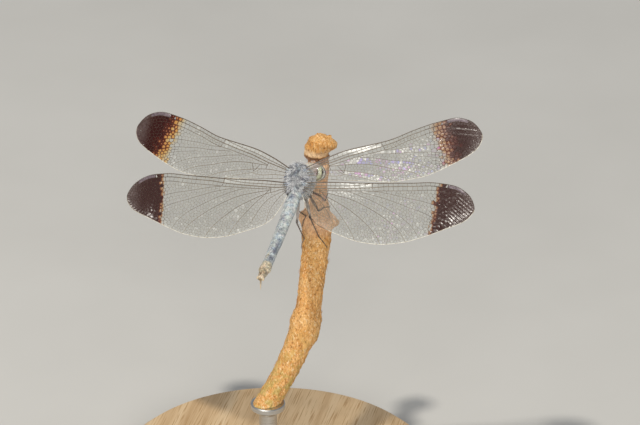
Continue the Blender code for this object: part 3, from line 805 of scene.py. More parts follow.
def thorax_relief(x, y, lift, turn):
    """Plates, ridges and furrows of the thorax, as millimetres outwards."""
    across = np.abs(x)
    top = step(lift, 0.45, 0.8)
    ridge = 0.13 * bell(x, 0, 0.12) * band(y, 1.2, 1.35, 2.2, 2.35) * top
    crest = 0.17 * bell(y, 1.15, 0.13) * step(across, 1.5, 1.1) * top
    trough = -0.4 * band(y, -2.35, -2, 0.8, 1.05) * step(across, 1.45, 1) * top
    domes = (
        0.36 * bell(y, 0.5, 0.36) * bell(across, 0.45, 0.34)
        + 0.44 * bell(y, -0.3, 0.24) * bell(x, 0, 0.42)
        + 0.34 * bell(y, -1.05, 0.32) * bell(across, 0.42, 0.3)
        + 0.4 * bell(y, -1.75, 0.22) * bell(x, 0, 0.36)
    ) * top
    furrows = 0
    side = np.degrees(turn)
    flank = np.where(side > 90, 180 - side, side)  # the same on both sides
    flank = np.where(flank < -90, -180 - flank, flank)
    on_flank = band(flank, -75, -55, 38, 52)
    for at, slant in ((1.35, 0.55), (0.35, 0.75), (-0.65, 0.8), (-1.6, 0.7)):
        line = at - slant * (flank - 10) / 60
        furrows = furrows - 0.13 * bell(y, line, 0.1) + 0.05 * bell(y, line + 0.22, 0.12)
    pleats = 0.05 * np.sin((y * 1.2 + flank / 60) * 14) * bell(flank, 38, 14) * bell(y, -0.6, 1.1)
    return ridge + crest + trough + domes + (furrows + pleats) * on_flank


def abdomen_relief(distance, lift, turn):
    """Rings, cross lines and keels of the abdomen, as a share of its radius."""
    side = np.degrees(turn)
    joints = np.cumsum(SEGMENT_LENGTHS)[:-1]
    relief = 0.07 * bell(side, 90, 9) - 0.035 * (bell(side, 62, 16) + bell(side, 118, 16))
    relief = relief + 0.06 * (bell(side, -24, 7) + bell(side, 204, 7) + bell(side, -156, 7))
    relief = relief - 0.1 * bell(side, -90, 30)
    for joint in joints:
        relief = relief + 0.03 * bell(distance, joint - 0.1, 0.1) - 0.07 * bell(distance, joint + 0.07, 0.07)
    for start in joints[1:3]:
        relief = relief + 0.035 * bell(distance, start + 1.25, 0.05) * step(lift, -0.3, 0.1)
    pleats = np.sin(distance * 21) * step(distance, 18.4, 18.8) * step(lift, 0, 0.5)
    tail_end = band(distance, 20.1, 20.3, 21.2, 22.4)
    relief = relief + 0.05 * bell(distance, 19.5, 0.6) - 0.15 * tail_end
    return relief + 0.012 * pleats


def body_marks(x, y, turn):
    """How thin the bloom is and how tan the shell is, mostly from 0 to 1, with painted light and painted
    shade worked into the thinness of the bloom.
    """
    distance = abdomen_distance(y)
    side = np.degrees(turn)
    tail = step(y, -3, -3.4)
    joints = np.cumsum(SEGMENT_LENGTHS)
    dark = 0
    for index, joint in enumerate(joints[:7]):
        dark = dark + 0.24 * bell(distance, joint, 0.14)
        middle = joint + 0.45 * (joints[index + 1] - joint)
        dark = dark + (0.2 - 0.02 * index) * bell(distance, middle, 0.55) * bell(side, 96, 26)
    for at, turned_to, long, wide, most in BLOTCHES_AND_PAINTED_LIGHT:
        dark = dark + most * bell(distance, at, long) * bell(side, turned_to, wide)
    under = np.maximum(bell(side, -90, 50), 0.6 * bell(side, 188, 22))
    dark = (dark + 0.45 * under) * tail
    tan = tail * (step(distance, 17.9, 18.9) + 0.45 * bell(distance, 16, 1.8) * bell(side, 108, 30))
    tan = tan + tail * 0.22 * step(distance, 15.2, 16.6)
    tan = tan - tail * 0.42 * bell(distance, 19.3, 0.8) * bell(side, 84, 26)
    across = np.abs(x)
    furrow = bell(y, 0.95, 0.12) + bell(y, -0.85, 0.12) + 0.6 * bell(across, 1.15, 0.2)
    dark = dark + (1 - tail) * (0.3 + 0.45 * furrow * band(side, 20, 50, 130, 160))
    neck = step(y, 2.36, 2.5)
    lobe = 0.75 * step(y, 1.35, 1.85) * (1 - neck)
    # painted light: the right flank of the thorax is made paler
    dark = dark * (1 - 0.7 * step(x, 0.6, 1.4) * step(y, -0.6, 0.6))
    return dark * (1 - neck) * (1 - 0.5 * lobe) + 0.25 * neck, tan + 0.9 * neck + lobe


def build_body():
    table = body_table()
    sides = 112
    tail_end, neck_end = table[0, 0], table[-1, 0]
    y = np.concatenate((np.arange(tail_end, -3, 0.075), np.arange(-3, neck_end, 0.045), [neck_end]))
    columns = [smooth_curve(table[:, 0], table[:, k], y) for k in range(1, 7)]
    x0, z0, up, down, wide, taper = (c[:, None] for c in columns)
    turn = np.linspace(-np.pi, np.pi, sides, endpoint=False)[None]
    lift, y = np.sin(turn), y[:, None]
    height = np.where(lift > 0, up, down)
    x = x0 + wide * np.cos(turn) * (1 - taper * np.maximum(lift, 0))
    z = z0 + height * lift
    on_thorax = band(y, -3, -2.7, 2.3, 2.4)
    relief = thorax_relief(x, y, lift, turn) * on_thorax
    distance = abdomen_distance(y)
    relief = relief + abdomen_relief(distance, lift, turn) * wide * step(y, -3.05, -3.3)
    x, z = x + relief * np.cos(turn), z + relief * lift
    points = np.stack((x, np.broadcast_to(y, x.shape), z), -1)
    grain = roughness_at(points.reshape(-1, 3), 3, 2).reshape(x.shape)
    points[..., 0] += 0.012 * grain * np.cos(turn)
    points[..., 2] += 0.012 * grain * lift
    dark, tan = (np.broadcast_to(m, x.shape) for m in body_marks(x, points[..., 1], turn))
    rows = len(y)
    uv = wrap_uv(rows, sides)
    shape = Shape()
    world = placed(BODY_FRAME, points.reshape(-1, 3))
    shape.add(world, closed_faces(rows, sides, True), dark=dark.ravel(), tan=tan.ravel(), uv=uv)
    nodes = ["thorax", "prothorax", "neck"] + [f"abdomen_{k:02d}" for k in range(1, 11)]
    add_piece("body_skin", shape, skin_look(), nodes)
    return points, dark, tan, uv.reshape(rows, sides, 2)


def build_coat(points, dark, tan, uv):
    """Hair of the body: long and pale on the thorax, very short on the abdomen."""
    random = np.random.default_rng(5)
    normal = np.cross(np.gradient(points, axis=1), np.gradient(points, axis=0))
    area, normal = np.linalg.norm(normal, axis=-1), unit(normal)
    normal *= np.sign((normal * (points - points.mean(1, keepdims=True))).sum(-1, keepdims=True))
    y, facing = points[..., 1], normal[..., 2]

    def root_at(density, count, shake=1, spread=0, ruffle=0.25):
        """Where tufts root, the way each leaves the skin and how far it strays from its combing."""
        chance = (area * density).ravel()
        at = np.unravel_index(random.choice(len(chance), count, p=chance / chance.sum()), area.shape)
        root = points[at] + random.normal(size=(count, 3)) * 0.03 * shake
        out = unit(normal[at] + random.normal(size=(count, 3)) * spread) if spread else normal[at]
        return at, root, out, random.normal(size=(count, 3)) * ruffle

    def add(shape, at, root, out, comb, sizes, dark, tan):
        """Tufts whose sizes are their lengths, radii and lifts."""
        patch = uv[at] * (0.94, 0.98) + 0.01
        add_tufts(shape, BODY_FRAME, root, out, comb, *sizes, patch, dark=dark, tan=tan)

    hair, down, tail = Shape(), Shape(), np.array((0, -1, 0))
    # long hair on the thorax, parted along the middle line and combed back and outwards
    count = THORAX_HAIRS
    density = band(y, -2.95, -2.6, 2.25, 2.4) * (0.35 + 0.65 * step(facing, -0.6, 0.4))
    density = density * (1 - 0.55 * np.clip(dark, 0, 1))
    at, root, out, stray = root_at(density, count, 1, 0.28, 0.35)
    swirl = roughness_at(root, 0.9, 2)[:, None]
    away = np.sign(root[:, :1]) * (0.5 + 0.3 * np.abs(root[:, :1])) * (1, 0, 0)
    comb = tail * 0.8 + away + np.cross(out, tail) * 1.3 * swirl + stray
    clumps_and_light = roughness_at(root + 9, 1.7, 2)
    # painted light: more pale hair on the right front flank of the thorax
    clumps_and_light += 0.3 * step(root[:, 0], 0.6, 1.4) * step(root[:, 1], -0.8, 0.4)
    pale = step(clumps_and_light + random.normal(size=count) * 0.12, -0.02, 0.12)
    lengths, radii, lifts = draw(random, count, (0.3, 0.6), (0.012, 0.02), (0.15, 0.5))
    sizes = lengths * (1 + 0.7 * pale), radii * (1 + 0.9 * pale), lifts * (1 + 0.6 * pale)
    add(hair, at, root, out, comb, sizes, 1 - pale, tan[at] * 0.85)
    # long fringe standing over the front of the thorax
    count = FRINGE_HAIRS
    density = band(y, 1.3, 1.8, 2.2, 2.35) * step(facing, 0, 0.5) * bell(points[..., 0], 0.5, 0.9)
    at, root, out, stray = root_at(density, count, 1, 0.15)
    sizes = draw(random, count, (0.6, 1.1), (0.012, 0.02), (0.5, 0.9))
    comb = np.array((-0.2, 0.8, 0.5)) + stray
    add(hair, at, root, out, comb, sizes, 0, random.choice((0, 0.9), count))
    # short fringe of the collar
    count = COLLAR_HAIRS
    at, root, out, stray = root_at(band(y, 2.35, 2.5, 2.8, 2.95), count, 0.5, 0.2, 0.3)
    sizes = draw(random, count, (0.2, 0.45), (0.01, 0.018), (0.5, 0.9))
    add(hair, at, root, out, -tail * 0.9 + stray, sizes, 0, 0.6)
    add_piece("thorax_hair", hair, coat_look(), around=False)
    # down on the abdomen
    count = ABDOMEN_HAIRS
    density = step(y, -3, -3.4) * (0.4 + 0.6 * step(facing, -0.5, 0.2))
    at, root, out, stray = root_at(density, count, 0.3)
    sizes = draw(random, count, (0.12, 0.3), (0.007, 0.012), (0.15, 0.45))
    add(down, at, root, out, tail + stray, sizes, dark[at], tan[at])
    add_piece("abdomen_down", down, coat_look(), around=False)


def build_tail():
    """Claspers, the plate between them and the egg-laying spine."""
    shell = shell_look("spine_shell", (0.76, 0.61, 0.41), (0.26, 0.16, 0.08), 0.35)
    pale_shell = shell_look("clasper_shell", (0.66, 0.55, 0.38), (0.2, 0.1, 0.05), 0.4)
    for side, sign in SIDES:
        shape = Shape()
        along, turned_up = 0.94 + 0.06 * sign, -0.35 * sign  # the pair is twisted a little
        path = [
            abdomen_at(CLASPER_START + along * d) + np.array((sign * out * along, 0, 0.12 + turned_up * out))
            for d, out in ((0.1, 0.3), (0.3, 0.4), (0.6, 0.48), (0.85, 0.5), (1.08, 0.47))
        ]
        rows = tube(path, (0.12, 0.19, 0.2, 0.14, 0.02), 14)
        add_rows(shape, placed(BODY_FRAME, rows), dark=np.linspace(0, 0.35, 5))
        add_piece(f"clasper_{side}", shape, pale_shell, (f"cercus_{side}",))
    shape = Shape()
    for sign in (-1, 1):  # two valves side by side, with a fine saw edge
        steps = np.linspace(0, 1, 22)
        distance = SPINE_START + SPINE_LENGTH * steps
        drop = -1 - 0.18 * np.sin(np.pi * np.minimum(steps * 1.3, 1)) + 0.06 * steps
        lean = np.interp(steps, (0, 0.3, 1), (-0.2, -0.5, 0.32))
        path = abdomen_at(distance) + np.column_stack((
            lean + sign * 0.07 * (1 - 0.5 * steps), np.zeros(22), drop))
        radii = 0.078 * (1 - steps**2.2) * (0.8 + 0.35 * bell(steps, 0.35, 0.3)) + 0.012
        rows = tube(path, radii, 12)
        add_rows(shape, placed(BODY_FRAME, rows), dark=0.05 + 0.2 * steps)
        for k in range(11, 20):
            at = path[k] + radii[k] * np.array((sign * 0.5, 0, -0.75))
            add_ball(shape, placed(BODY_FRAME, at), (0.018, 0.05, 0.022), BODY_FRAME, 4, 6, dark=0.8)
    base = placed(BODY_FRAME, abdomen_at(20.2) + np.array((0, 0, -0.86)))
    add_ball(shape, base, (0.36, 0.55, 0.22), BODY_FRAME, dark=0.35)
    add_ball(shape, placed(BODY_FRAME, abdomen_at(22.55)), (0.17, 0.36, 0.1), BODY_FRAME, dark=1.3)
    add_piece("egg_spine", shape, shell, ("ovipositor",))


# ---------------------------------------------------------------- head

def fused(shape, cell, smoothing=6):
    """One closed skin over a shape's overlapping solids, made of cells this wide."""
    mesh = bpy.data.meshes.new("fusing")
    mesh.from_pydata(np.concatenate(shape.points), [], shape.faces)
    piece = linked("fusing", mesh)
    remesh = piece.modifiers.new("remesh", "REMESH")
    remesh.mode, remesh.voxel_size = "VOXEL", cell
    smooth = piece.modifiers.new("smooth", "SMOOTH")
    smooth.iterations, smooth.factor = smoothing, 0.5
    result = piece.evaluated_get(bpy.context.evaluated_depsgraph_get()).to_mesh()
    points = np.array([v.co[:] for v in result.vertices])
    normals = np.array([v.normal[:] for v in result.vertices])
    faces = [list(p.vertices) for p in result.polygons]
    piece.to_mesh_clear()
    bpy.data.objects.remove(piece)
    return points, faces, normals


def head_look():
    look = Look("head_shell", Specular_IOR_Level=0.45)
    mottle = look.noise(2.5, 4, distortion=0.4)
    fine = look.noise(10, 2)
    dark = look.plus(look.value("dark"), look.scale(mottle, 0.6, -0.3))
    pale = look.mottle(fine, (0.52, 0.44, 0.3), (0.76, 0.7, 0.56))
    colour = look.blend(look.rise(dark, 0.25, 0.8), pale, (0.11, 0.05, 0.028))
    colour = look.blend(look.rise(look.value("rust"), 0.2, 0.8), colour, (0.36, 0.15, 0.055))
    rough = look.mottle(fine, 0.34, 0.5)
    return look.set(Base_Color=colour, Roughness=rough, Normal=look.bump(fine, 0.02, 0.5))


def eye_look():
    """Facetted eye: greyish red-brown above, with green and black bands and a painted white reflection band
    down its rear face.
    """
    look = Look(
        "eye_facets", Roughness=0.12, Specular_IOR_Level=0.6, Coat_Weight=0.5, Coat_Roughness=0.06)
    up, back = look.value("up"), look.value("back")
    wobble = look.scale(look.noise(0.9, 2), 0.16, -0.08)
    slant = look.plus(look.scale(up, 0.95, back), wobble)
    band = look.scale(slant, 0.4, 0.5)
    # the white stops at 0.515 and 0.565 are a painted reflection
    colour = look.ramp(
        band, (0.32, (0.34, 0.18, 0.13)), (0.44, (0.16, 0.11, 0.08)), (0.485, (0.07, 0.07, 0.05)),
        (0.515, (0.8, 0.82, 0.76)), (0.565, (0.74, 0.76, 0.68)), (0.6, (0.2, 0.2, 0.16)),
        (0.69, (0.4, 0.43, 0.26)), (0.74, (0.68, 0.7, 0.46)), (0.85, (0.64, 0.68, 0.52)),
        (0.87, (0.07, 0.05, 0.04)), (0.9, (0.1, 0.07, 0.06)), (0.915, (0.36, 0.26, 0.24)),
        (0.96, (0.46, 0.36, 0.34)),
    )
    fleck = look.noise(3, 3)
    colour = look.blend(look.ramp(fleck, (0.5, 0), (0.72, 0.4)), colour, (0.24, 0.2, 0.12))
    rows = look.scale(up, 0.5, 0.5)
    spot = look.times(
        look.ramp(band, (0.592, 0), (0.607, 1), (0.675, 1), (0.692, 0)),
        look.ramp(rows, (0.42, 0), (0.46, 1), (0.7, 1), (0.74, 0)),
    )
    colour = look.blend(spot, colour, (0.01, 0.008, 0.008))
    crown = look.blend(look.rise(back, -0.2, -0.7), (0.46, 0.38, 0.36), (0.075, 0.016, 0.013))
    crown = look.blend(look.rise(look.value("out"), 0.46, 0.3), crown, (0.72, 0.66, 0.56))
    colour = look.blend(look.rise(look.plus(up, wobble), 0.58, 0.78), colour, crown)
    facets = look.cells(19, randomness=0.35)
    return look.set(Base_Color=colour, Normal=look.bump(facets, 0.012, 0.6))


def build_eyes():
    rows, sides = 54, 96
    first = asin((EYE_INNER / EYE_REACH) ** (EYE_ROUND / 2))
    lift = np.linspace(first, pi / 2 - 0.012, rows)[:, None]
    turn = full_turn(sides)[None]
    across = EYE_REACH * np.sin(lift) ** (2 / EYE_ROUND)
    size = np.sqrt(1 - (across / EYE_REACH) ** EYE_ROUND)
    y, z = EYE_LENGTH * size * np.cos(turn), EYE_HEIGHT * size * np.sin(turn)
    x = np.broadcast_to(across, y.shape)
    distance = (pi / 2 - lift) / pi
    uv = 0.5 + np.stack((distance * np.cos(turn), distance * np.sin(turn)), -1)
    material = eye_look()
    for side, sign in SIDES:
        faces = grid_faces(rows, sides).tolist()
        faces += [list(range((rows - 1) * sides, rows * sides)), list(range(sides))[::-1]]
        shape = Shape()
        shape.add(
            placed(HEAD_FRAME, np.stack((sign * x, y, z), -1)), [face[::sign] for face in faces],
            uv=uv.reshape(-1, 2), up=(z / EYE_HEIGHT).ravel(), back=(-y / EYE_LENGTH).ravel(),
            out=(x / EYE_REACH).ravel(),
        )
        add_piece(f"eye_facets_{side}", shape, material, (f"eye_{side}",), around=False)


def head_solid():
    """Overlapping ellipsoids of the head: which sides, centre, half sizes, rows and points around."""
    solid = Shape()
    for sides, centre, sizes, rows, turns in (
        ((0,), (0, -0.02, 0.02), (0.98, 1.36, 1.6), 40, 48),  # capsule
        ((0,), (0, -0.5, 0.95), (0.42, 0.85, 0.62), 24, 28),  # occiput
        ((0,), (0, 0.95, 1.02), (0.5, 0.48, 0.46), 20, 24),  # vertex
        ((-1, 1), (0.4, 1.42, 0.28), (0.48, 0.5, 0.5), 20, 24),  # frons
        ((-1, 1), (0.72, -0.82, -0.35), (0.82, 0.5, 0.98), 24, 28),  # cheeks
        ((-1, 1), (0.62, 0.9, -1.35), (0.42, 0.62, 0.55), 20, 24),  # jaws
        ((0,), (0, 1.62, -0.42), (0.98, 0.52, 0.34), 20, 28),  # upper lip plates
        ((0,), (0, 1.72, -0.82), (1.12, 0.46, 0.34), 20, 28),
        ((0,), (0, 1.5, -1.25), (0.92, 0.48, 0.38), 20, 28),  # lip
        ((0,), (0, 0.6, -1.85), (0.86, 0.78, 0.42), 20, 28),  # lower lip
    ):
        for sign in sides:
            add_ball(solid, np.array(centre) * (sign, 1, 1), sizes, rows=rows, sides=turns)
    return solid


def build_head():
    points, faces, normals = fused(head_solid(), 0.045)
    x, y, z = points.T
    across = np.abs(x)
    dark = 0.75 * bell(z, 0.62, 0.3) * step(y, 0.8, 1.1) + 0.9 * bell(z, -0.62, 0.06) * step(y, 0.9, 1.2)
    dark += 0.9 * bell(z, -1.05, 0.06) * step(y, 0.8, 1.1) + 0.7 * bell(x, 0, 0.06) * step(y, 0.9, 1.2)
    dark += 0.8 * bell(z, -1.55, 0.07) * step(y, 0.4, 0.8) + 0.5 * bell(z, -2.2, 0.25)
    back = step(y, -0.2, -0.6)
    dark += back * (0.85 * bell(across, 0.3, 0.12) + 0.8 * bell(z, -0.25, 0.16) + 0.7 * bell(z, -1.25, 0.14))
    rust = back * bell(z, 0.85, 0.3) * 0.5 + 0.62 * bell(z, 1.3, 0.4) * step(y, 0.35, 0.7)
    uv = np.column_stack((np.arctan2(x, y) / (2 * np.pi) + 0.5, 0.5 + z / 5.2))
    shape = Shape()
    shape.add(placed(HEAD_FRAME, points), faces, dark=dark, rust=rust, uv=uv)
    add_piece("head_skin", shape, head_look(), ("head_capsule", "face", "mouthparts"))
    build_ocelli()
    build_head_hair(points, normals, uv)
    build_feelers()


def build_ocelli():
    """Three simple eyes on the vertex."""
    shape = Shape()
    for at, size in (((0, 1.42, 1), 0.17), ((-0.42, 1.1, 1.28), 0.13), ((0.42, 1.1, 1.28), 0.13)):
        add_ball(shape, placed(HEAD_FRAME, at), (size,) * 3, rows=10, sides=18, dark=0.2)
    add_piece("ocelli", shape, shell_look("ocellus", (0.74, 0.42, 0.24), (0.36, 0.16, 0.08), 0.12))


def build_head_hair(points, normals, uv):
    """Hair of the face, and a fringe behind the eyes."""
    random = np.random.default_rng(3)
    _, y, z = points.T
    coat = Shape()
    for where, count, long, way, tan in (
        (step(y, 0.9, 1.3) * step(z, -1.9, -1.5), FACE_HAIRS, (0.12, 0.34), (0, 0.3, -1), 0.3),
        (step(y, -0.5, -0.85) + 0.4 * bell(z, 1.5, 0.3), NAPE_HAIRS, (0.2, 0.5), (0, -0.3, 0.9), 0.2),
    ):
        chosen = random.choice(len(points), count, p=where / where.sum())
        out = unit(normals[chosen] + random.normal(size=(count, 3)) * 0.2)
        comb = np.array(way) + random.normal(size=(count, 3)) * 0.4
        sizes = draw(random, count, long, (0.007, 0.013), (0.5, 1))
        add_tufts(
            coat, HEAD_FRAME, points[chosen], out, comb, *sizes, uv[chosen] * 0.94 + 0.02, dark=0.1, tan=tan)
    add_piece("head_hair", coat, coat_look(), around=False)


def build_feelers():
    """Antennae: two thick joints and a tapering bristle of fine rings."""
    shell = shell_look("antenna_shell", (0.09, 0.05, 0.03), (0.02, 0.012, 0.01), 0.35)
    for side, sign in SIDES:
        base = np.array((sign * 0.4, EYE_LENGTH + 0.02, 0.6))
        way = np.array((sign * 0.8, 0.5, -0.1))
        steps = np.linspace(0, 1, 60)[:, None]
        path = base + way * steps * 1.75 + np.array((0, 0, 0.35)) * steps**2
        radii = np.interp(
            steps[:, 0], (0, 0.06, 0.1, 0.12, 0.22, 0.25, 1), (0.13, 0.15, 0.13, 0.1, 0.11, 0.06, 0.014))
        radii = radii * (1 + 0.1 * np.sin(steps[:, 0] * 110))
        shape = Shape()
        add_rows(shape, placed(HEAD_FRAME, tube(path, radii, 12)), dark=0.5)
        add_piece(f"feeler_{side}", shape, shell, (f"antenna_{side}",))


# ---------------------------------------------------------------- legs

def on_twig(point, clearance):
    """The point moved to stand clear of the bark by clearance, square to the twig's middle line."""
    best = None
    for low, high in zip(TWIG_PATH, TWIG_PATH[1:]):
        a, b = np.array(low[:3]), np.array(high[:3])
        share = min(max((point - a) @ (b - a) / ((b - a) @ (b - a)), 0), 1)
        near = a + (b - a) * share
        distance = np.linalg.norm(point - near)
        if best is None or distance < best[0]:
            best = (distance, near, low[3] + share * (high[3] - low[3]))
    _, near, plain = best
    away = unit(point - near)
    side = degrees(atan2(-away[1], -away[0]))
    return near + away * (twig_reach(near[2], side, plain) + clearance), away


def add_thorn(shape, root, way, length, radius, dark=0.9):
    path = root + way * length * np.linspace(-0.05, 1, 4)[:, None]
    add_rows(shape, tube(path, radius * np.array((1, 0.8, 0.5, 0.08)), 5), dark=dark)


def add_spines(shape, path, shares, lengths, way, bend, towards, slants, clear, radius):
    """Two rows of spines under a limb that points along way; slants are down, sideways and along."""
    below = unit(np.cross(way, bend))
    below = below * np.sign(below @ towards)
    down, sideways, along = slants
    for row in (-1, 1):
        spine = unit(below * down + bend * sideways * row + way * along)
        for share, length in zip(shares, lengths):
            add_thorn(shape, path[int(share * (len(path) - 1))] + spine * clear, spine, length, radius)


def thigh(hip, knee, ankle, inwards, wear_and_sheen, thick, spines):
    """The thigh with the two short joints that carry it."""
    shape, way = Shape(), unit(knee - hip)
    root = tube(
        [hip + inwards * 0.7, hip + inwards * 0.3, hip, hip + way * 0.3], (0.5, 0.46, 0.36, 0.26), 16)
    add_rows(shape, root, dark=0.2 + wear_and_sheen)
    add_ball(shape, hip + way * 0.38, (0.27, 0.27, 0.27), dark=0.7)
    steps = np.linspace(0, 1, 24)
    bend = unit(np.cross(knee - hip, ankle - knee))
    bow = unit(np.cross(bend, way)) * 0.12 * np.sin(np.pi * steps[:, None])
    path = hip + way * 0.4 + (knee - hip - way * 0.4) * steps[:, None] + bow
    radii = thick * np.interp(steps, (0, 0.1, 0.4, 0.85, 0.95, 1), (0.16, 0.21, 0.22, 0.14, 0.17, 0.12))
    add_rows(shape, tube(path, radii, 14), dark=wear_and_sheen + 0.6 * bell(steps, 1, 0.12))
    shares = 0.25 + 0.68 * np.arange(spines) / 8
    lengths = 0.2 + 0.09 * shares
    add_spines(shape, path, shares, lengths, way, bend, ankle - knee, (1, 0.55, 0.5), 0.15, 0.026)
    return shape


def shin(hip, knee, ankle):
    shape, way, steps = Shape(), unit(ankle - knee), np.linspace(0, 1, 24)
    bend = unit(np.cross(knee - hip, ankle - knee))
    bow = unit(np.cross(bend, way)) * 0.06 * np.sin(np.pi * steps[:, None])
    path = knee + (ankle - knee) * steps[:, None] - bow
    radii = np.interp(steps, (0, 0.04, 0.12, 0.6, 0.95, 1), (0.1, 0.13, 0.095, 0.085, 0.085, 0.075))
    add_rows(shape, tube(path, radii, 12), dark=0.8)
    shares = np.arange(8) / 7
    lengths = 0.52 - 0.2 * np.abs(shares - 0.4)
    shares = 0.14 + 0.8 * shares
    add_spines(shape, path, shares, lengths, way, bend, hip - knee, (0.75, 0.85, 0.75), 0.07, 0.024)
    return shape


def foot(ankle, middle, toe, out, wear_and_sheen):
    """Foot of three joints, with two hooked claws; out is the way out of the bark."""
    shape = Shape()
    line = [ankle, ankle * 0.45 + middle * 0.55, middle, middle * 0.4 + toe * 0.6, toe]
    stops = np.linspace(0, 1, 19)
    path = along_line(stops, np.linspace(0, 1, 5), line)
    radii = np.interp(
        stops, (0, 0.18, 0.22, 0.48, 0.53, 0.9, 1), (0.07, 0.085, 0.06, 0.075, 0.055, 0.07, 0.05))
    add_rows(shape, tube(path, radii, 10), dark=0.5 + 0.7 * wear_and_sheen)
    way = unit(toe - middle)
    across = unit(np.cross(way, out))
    for sign in (-1, 1):
        a = np.linspace(0, 1, 9)[:, None]
        claw = toe + way * 0.34 * np.sin(a * 1.5) + across * sign * (0.05 + 0.16 * a)
        claw = claw + out * (0.05 * np.sin(a * 3) - 0.2 * a**2)
        add_rows(shape, tube(claw, 0.045 * (1 - 0.85 * a[:, 0]), 8), dark=0.9)
        for at in path[3:16:3]:
            add_thorn(shape, at, unit(way * 0.6 - out * 0.5 + across * sign * 0.6), 0.15, 0.014)
    return shape


def build_legs():
    shell = shell_look("leg_shell", (0.14, 0.08, 0.05), (0.03, 0.016, 0.012), 0.32)
    # pale shell of some legs: partly a bloom, partly a painted highlight
    pale_bloom_and_highlight = shell_look("leg_shell_pale", (0.6, 0.53, 0.48), (0.03, 0.018, 0.014), 0.42)
    for leg, points in LEG_POINTS.items():
        hip, knee, ankle, toe = placed(BODY_FRAME, points)
        ankle, _ = on_twig(ankle, 0.34)
        toe, out = on_twig(toe, 0.1)
        middle, _ = on_twig((ankle + toe) / 2, 0.16)
        inwards = unit(placed(BODY_FRAME, (points[0][0] * 0.5, points[0][1], -1)) - hip)
        material = shell if leg in ("fore_left", "fore_right", "mid_right") else pale_bloom_and_highlight
        wear_and_sheen = {"hind_right": 0.5, "mid_left": 0.3}.get(leg, 0.15)
        thick, spines = (1.2, 9) if leg.startswith("hind") else (1, 7)
        for part, node, shape in (
            ("thigh", "femur", thigh(hip, knee, ankle, inwards, wear_and_sheen, thick, spines)),
            ("shin", "tibia", shin(hip, knee, ankle)),
            ("foot", "tarsus", foot(ankle, middle, toe, out, wear_and_sheen)),
        ):
            add_piece(f"{leg}_{part}", shape, material, (f"leg_{leg}_{node}",))


# ---------------------------------------------------------------- wings

# Long veins: fold (1 ridge, -1 furrow), radius, then rows of share of the span, share of the chord
FORE_VEINS = (
    (1, 0.085, ((0, 0.25), (0.1, 0.3), (0.25, 0.21), (0.4, 0.12), (0.5, 0.08), (0.62, 0.072),
                (0.78, 0.078), (0.88, 0.09), (0.95, 0.13), (0.985, 0.24))),
    (-1, 0.06, ((0, 0.13), (0.1, 0.17), (0.25, 0.12), (0.36, 0.06), (0.44, 0))),
    (-1, 0.06, ((0.13, 0.4), (0.2, 0.34), (0.3, 0.27), (0.4, 0.215), (0.5, 0.185), (0.6, 0.165),
                (0.7, 0.165), (0.8, 0.185), (0.88, 0.24), (0.94, 0.36), (0.98, 0.65))),
    (1, 0.055, ((0.13, 0.43), (0.2, 0.47), (0.3, 0.5), (0.4, 0.58), (0.5, 0.71), (0.57, 0.83),
                (0.62, 0.95), (0.635, 1))),
    (-1, 0.055, ((0, 0.5), (0.1, 0.56), (0.17, 0.62), (0.24, 0.7), (0.32, 0.76), (0.4, 0.84),
                 (0.46, 0.94), (0.48, 1))),
    (-1, 0.045, ((0.31, 0.3), (0.4, 0.38), (0.5, 0.5), (0.58, 0.62), (0.65, 0.76), (0.7, 0.92),
                 (0.715, 1))),
    (1, 0.045, ((0.38, 0.25), (0.46, 0.3), (0.55, 0.38), (0.65, 0.49), (0.74, 0.62), (0.81, 0.78),
                (0.86, 0.95), (0.87, 1))),
    (-1, 0.045, ((0.45, 0.2), (0.52, 0.25), (0.6, 0.31), (0.7, 0.4), (0.8, 0.53), (0.87, 0.7),
                 (0.92, 0.9), (0.935, 1))),
    (1, 0.045, ((0.17, 0.64), (0.2, 0.78), (0.26, 0.86), (0.33, 0.94), (0.37, 1))),
    (1, 0.05, ((0, 0.74), (0.08, 0.8), (0.14, 0.86), (0.2, 0.82))),
    (0, 0.035, ((0.6, 0.5), (0.68, 0.62), (0.75, 0.76), (0.81, 0.93), (0.82, 1))),
)
FORE_BARS = (
    ((0.125, 0.27), (0.135, 0.58)), ((0.175, 0.455), (0.205, 0.74)), ((0.225, 0.475), (0.205, 0.74)),
    ((0.44, 0), (0.445, 0.1), (0.455, 0.2)), ((0.795, 0), (0.785, 0.078)), ((0.9, 0), (0.905, 0.095)),
)
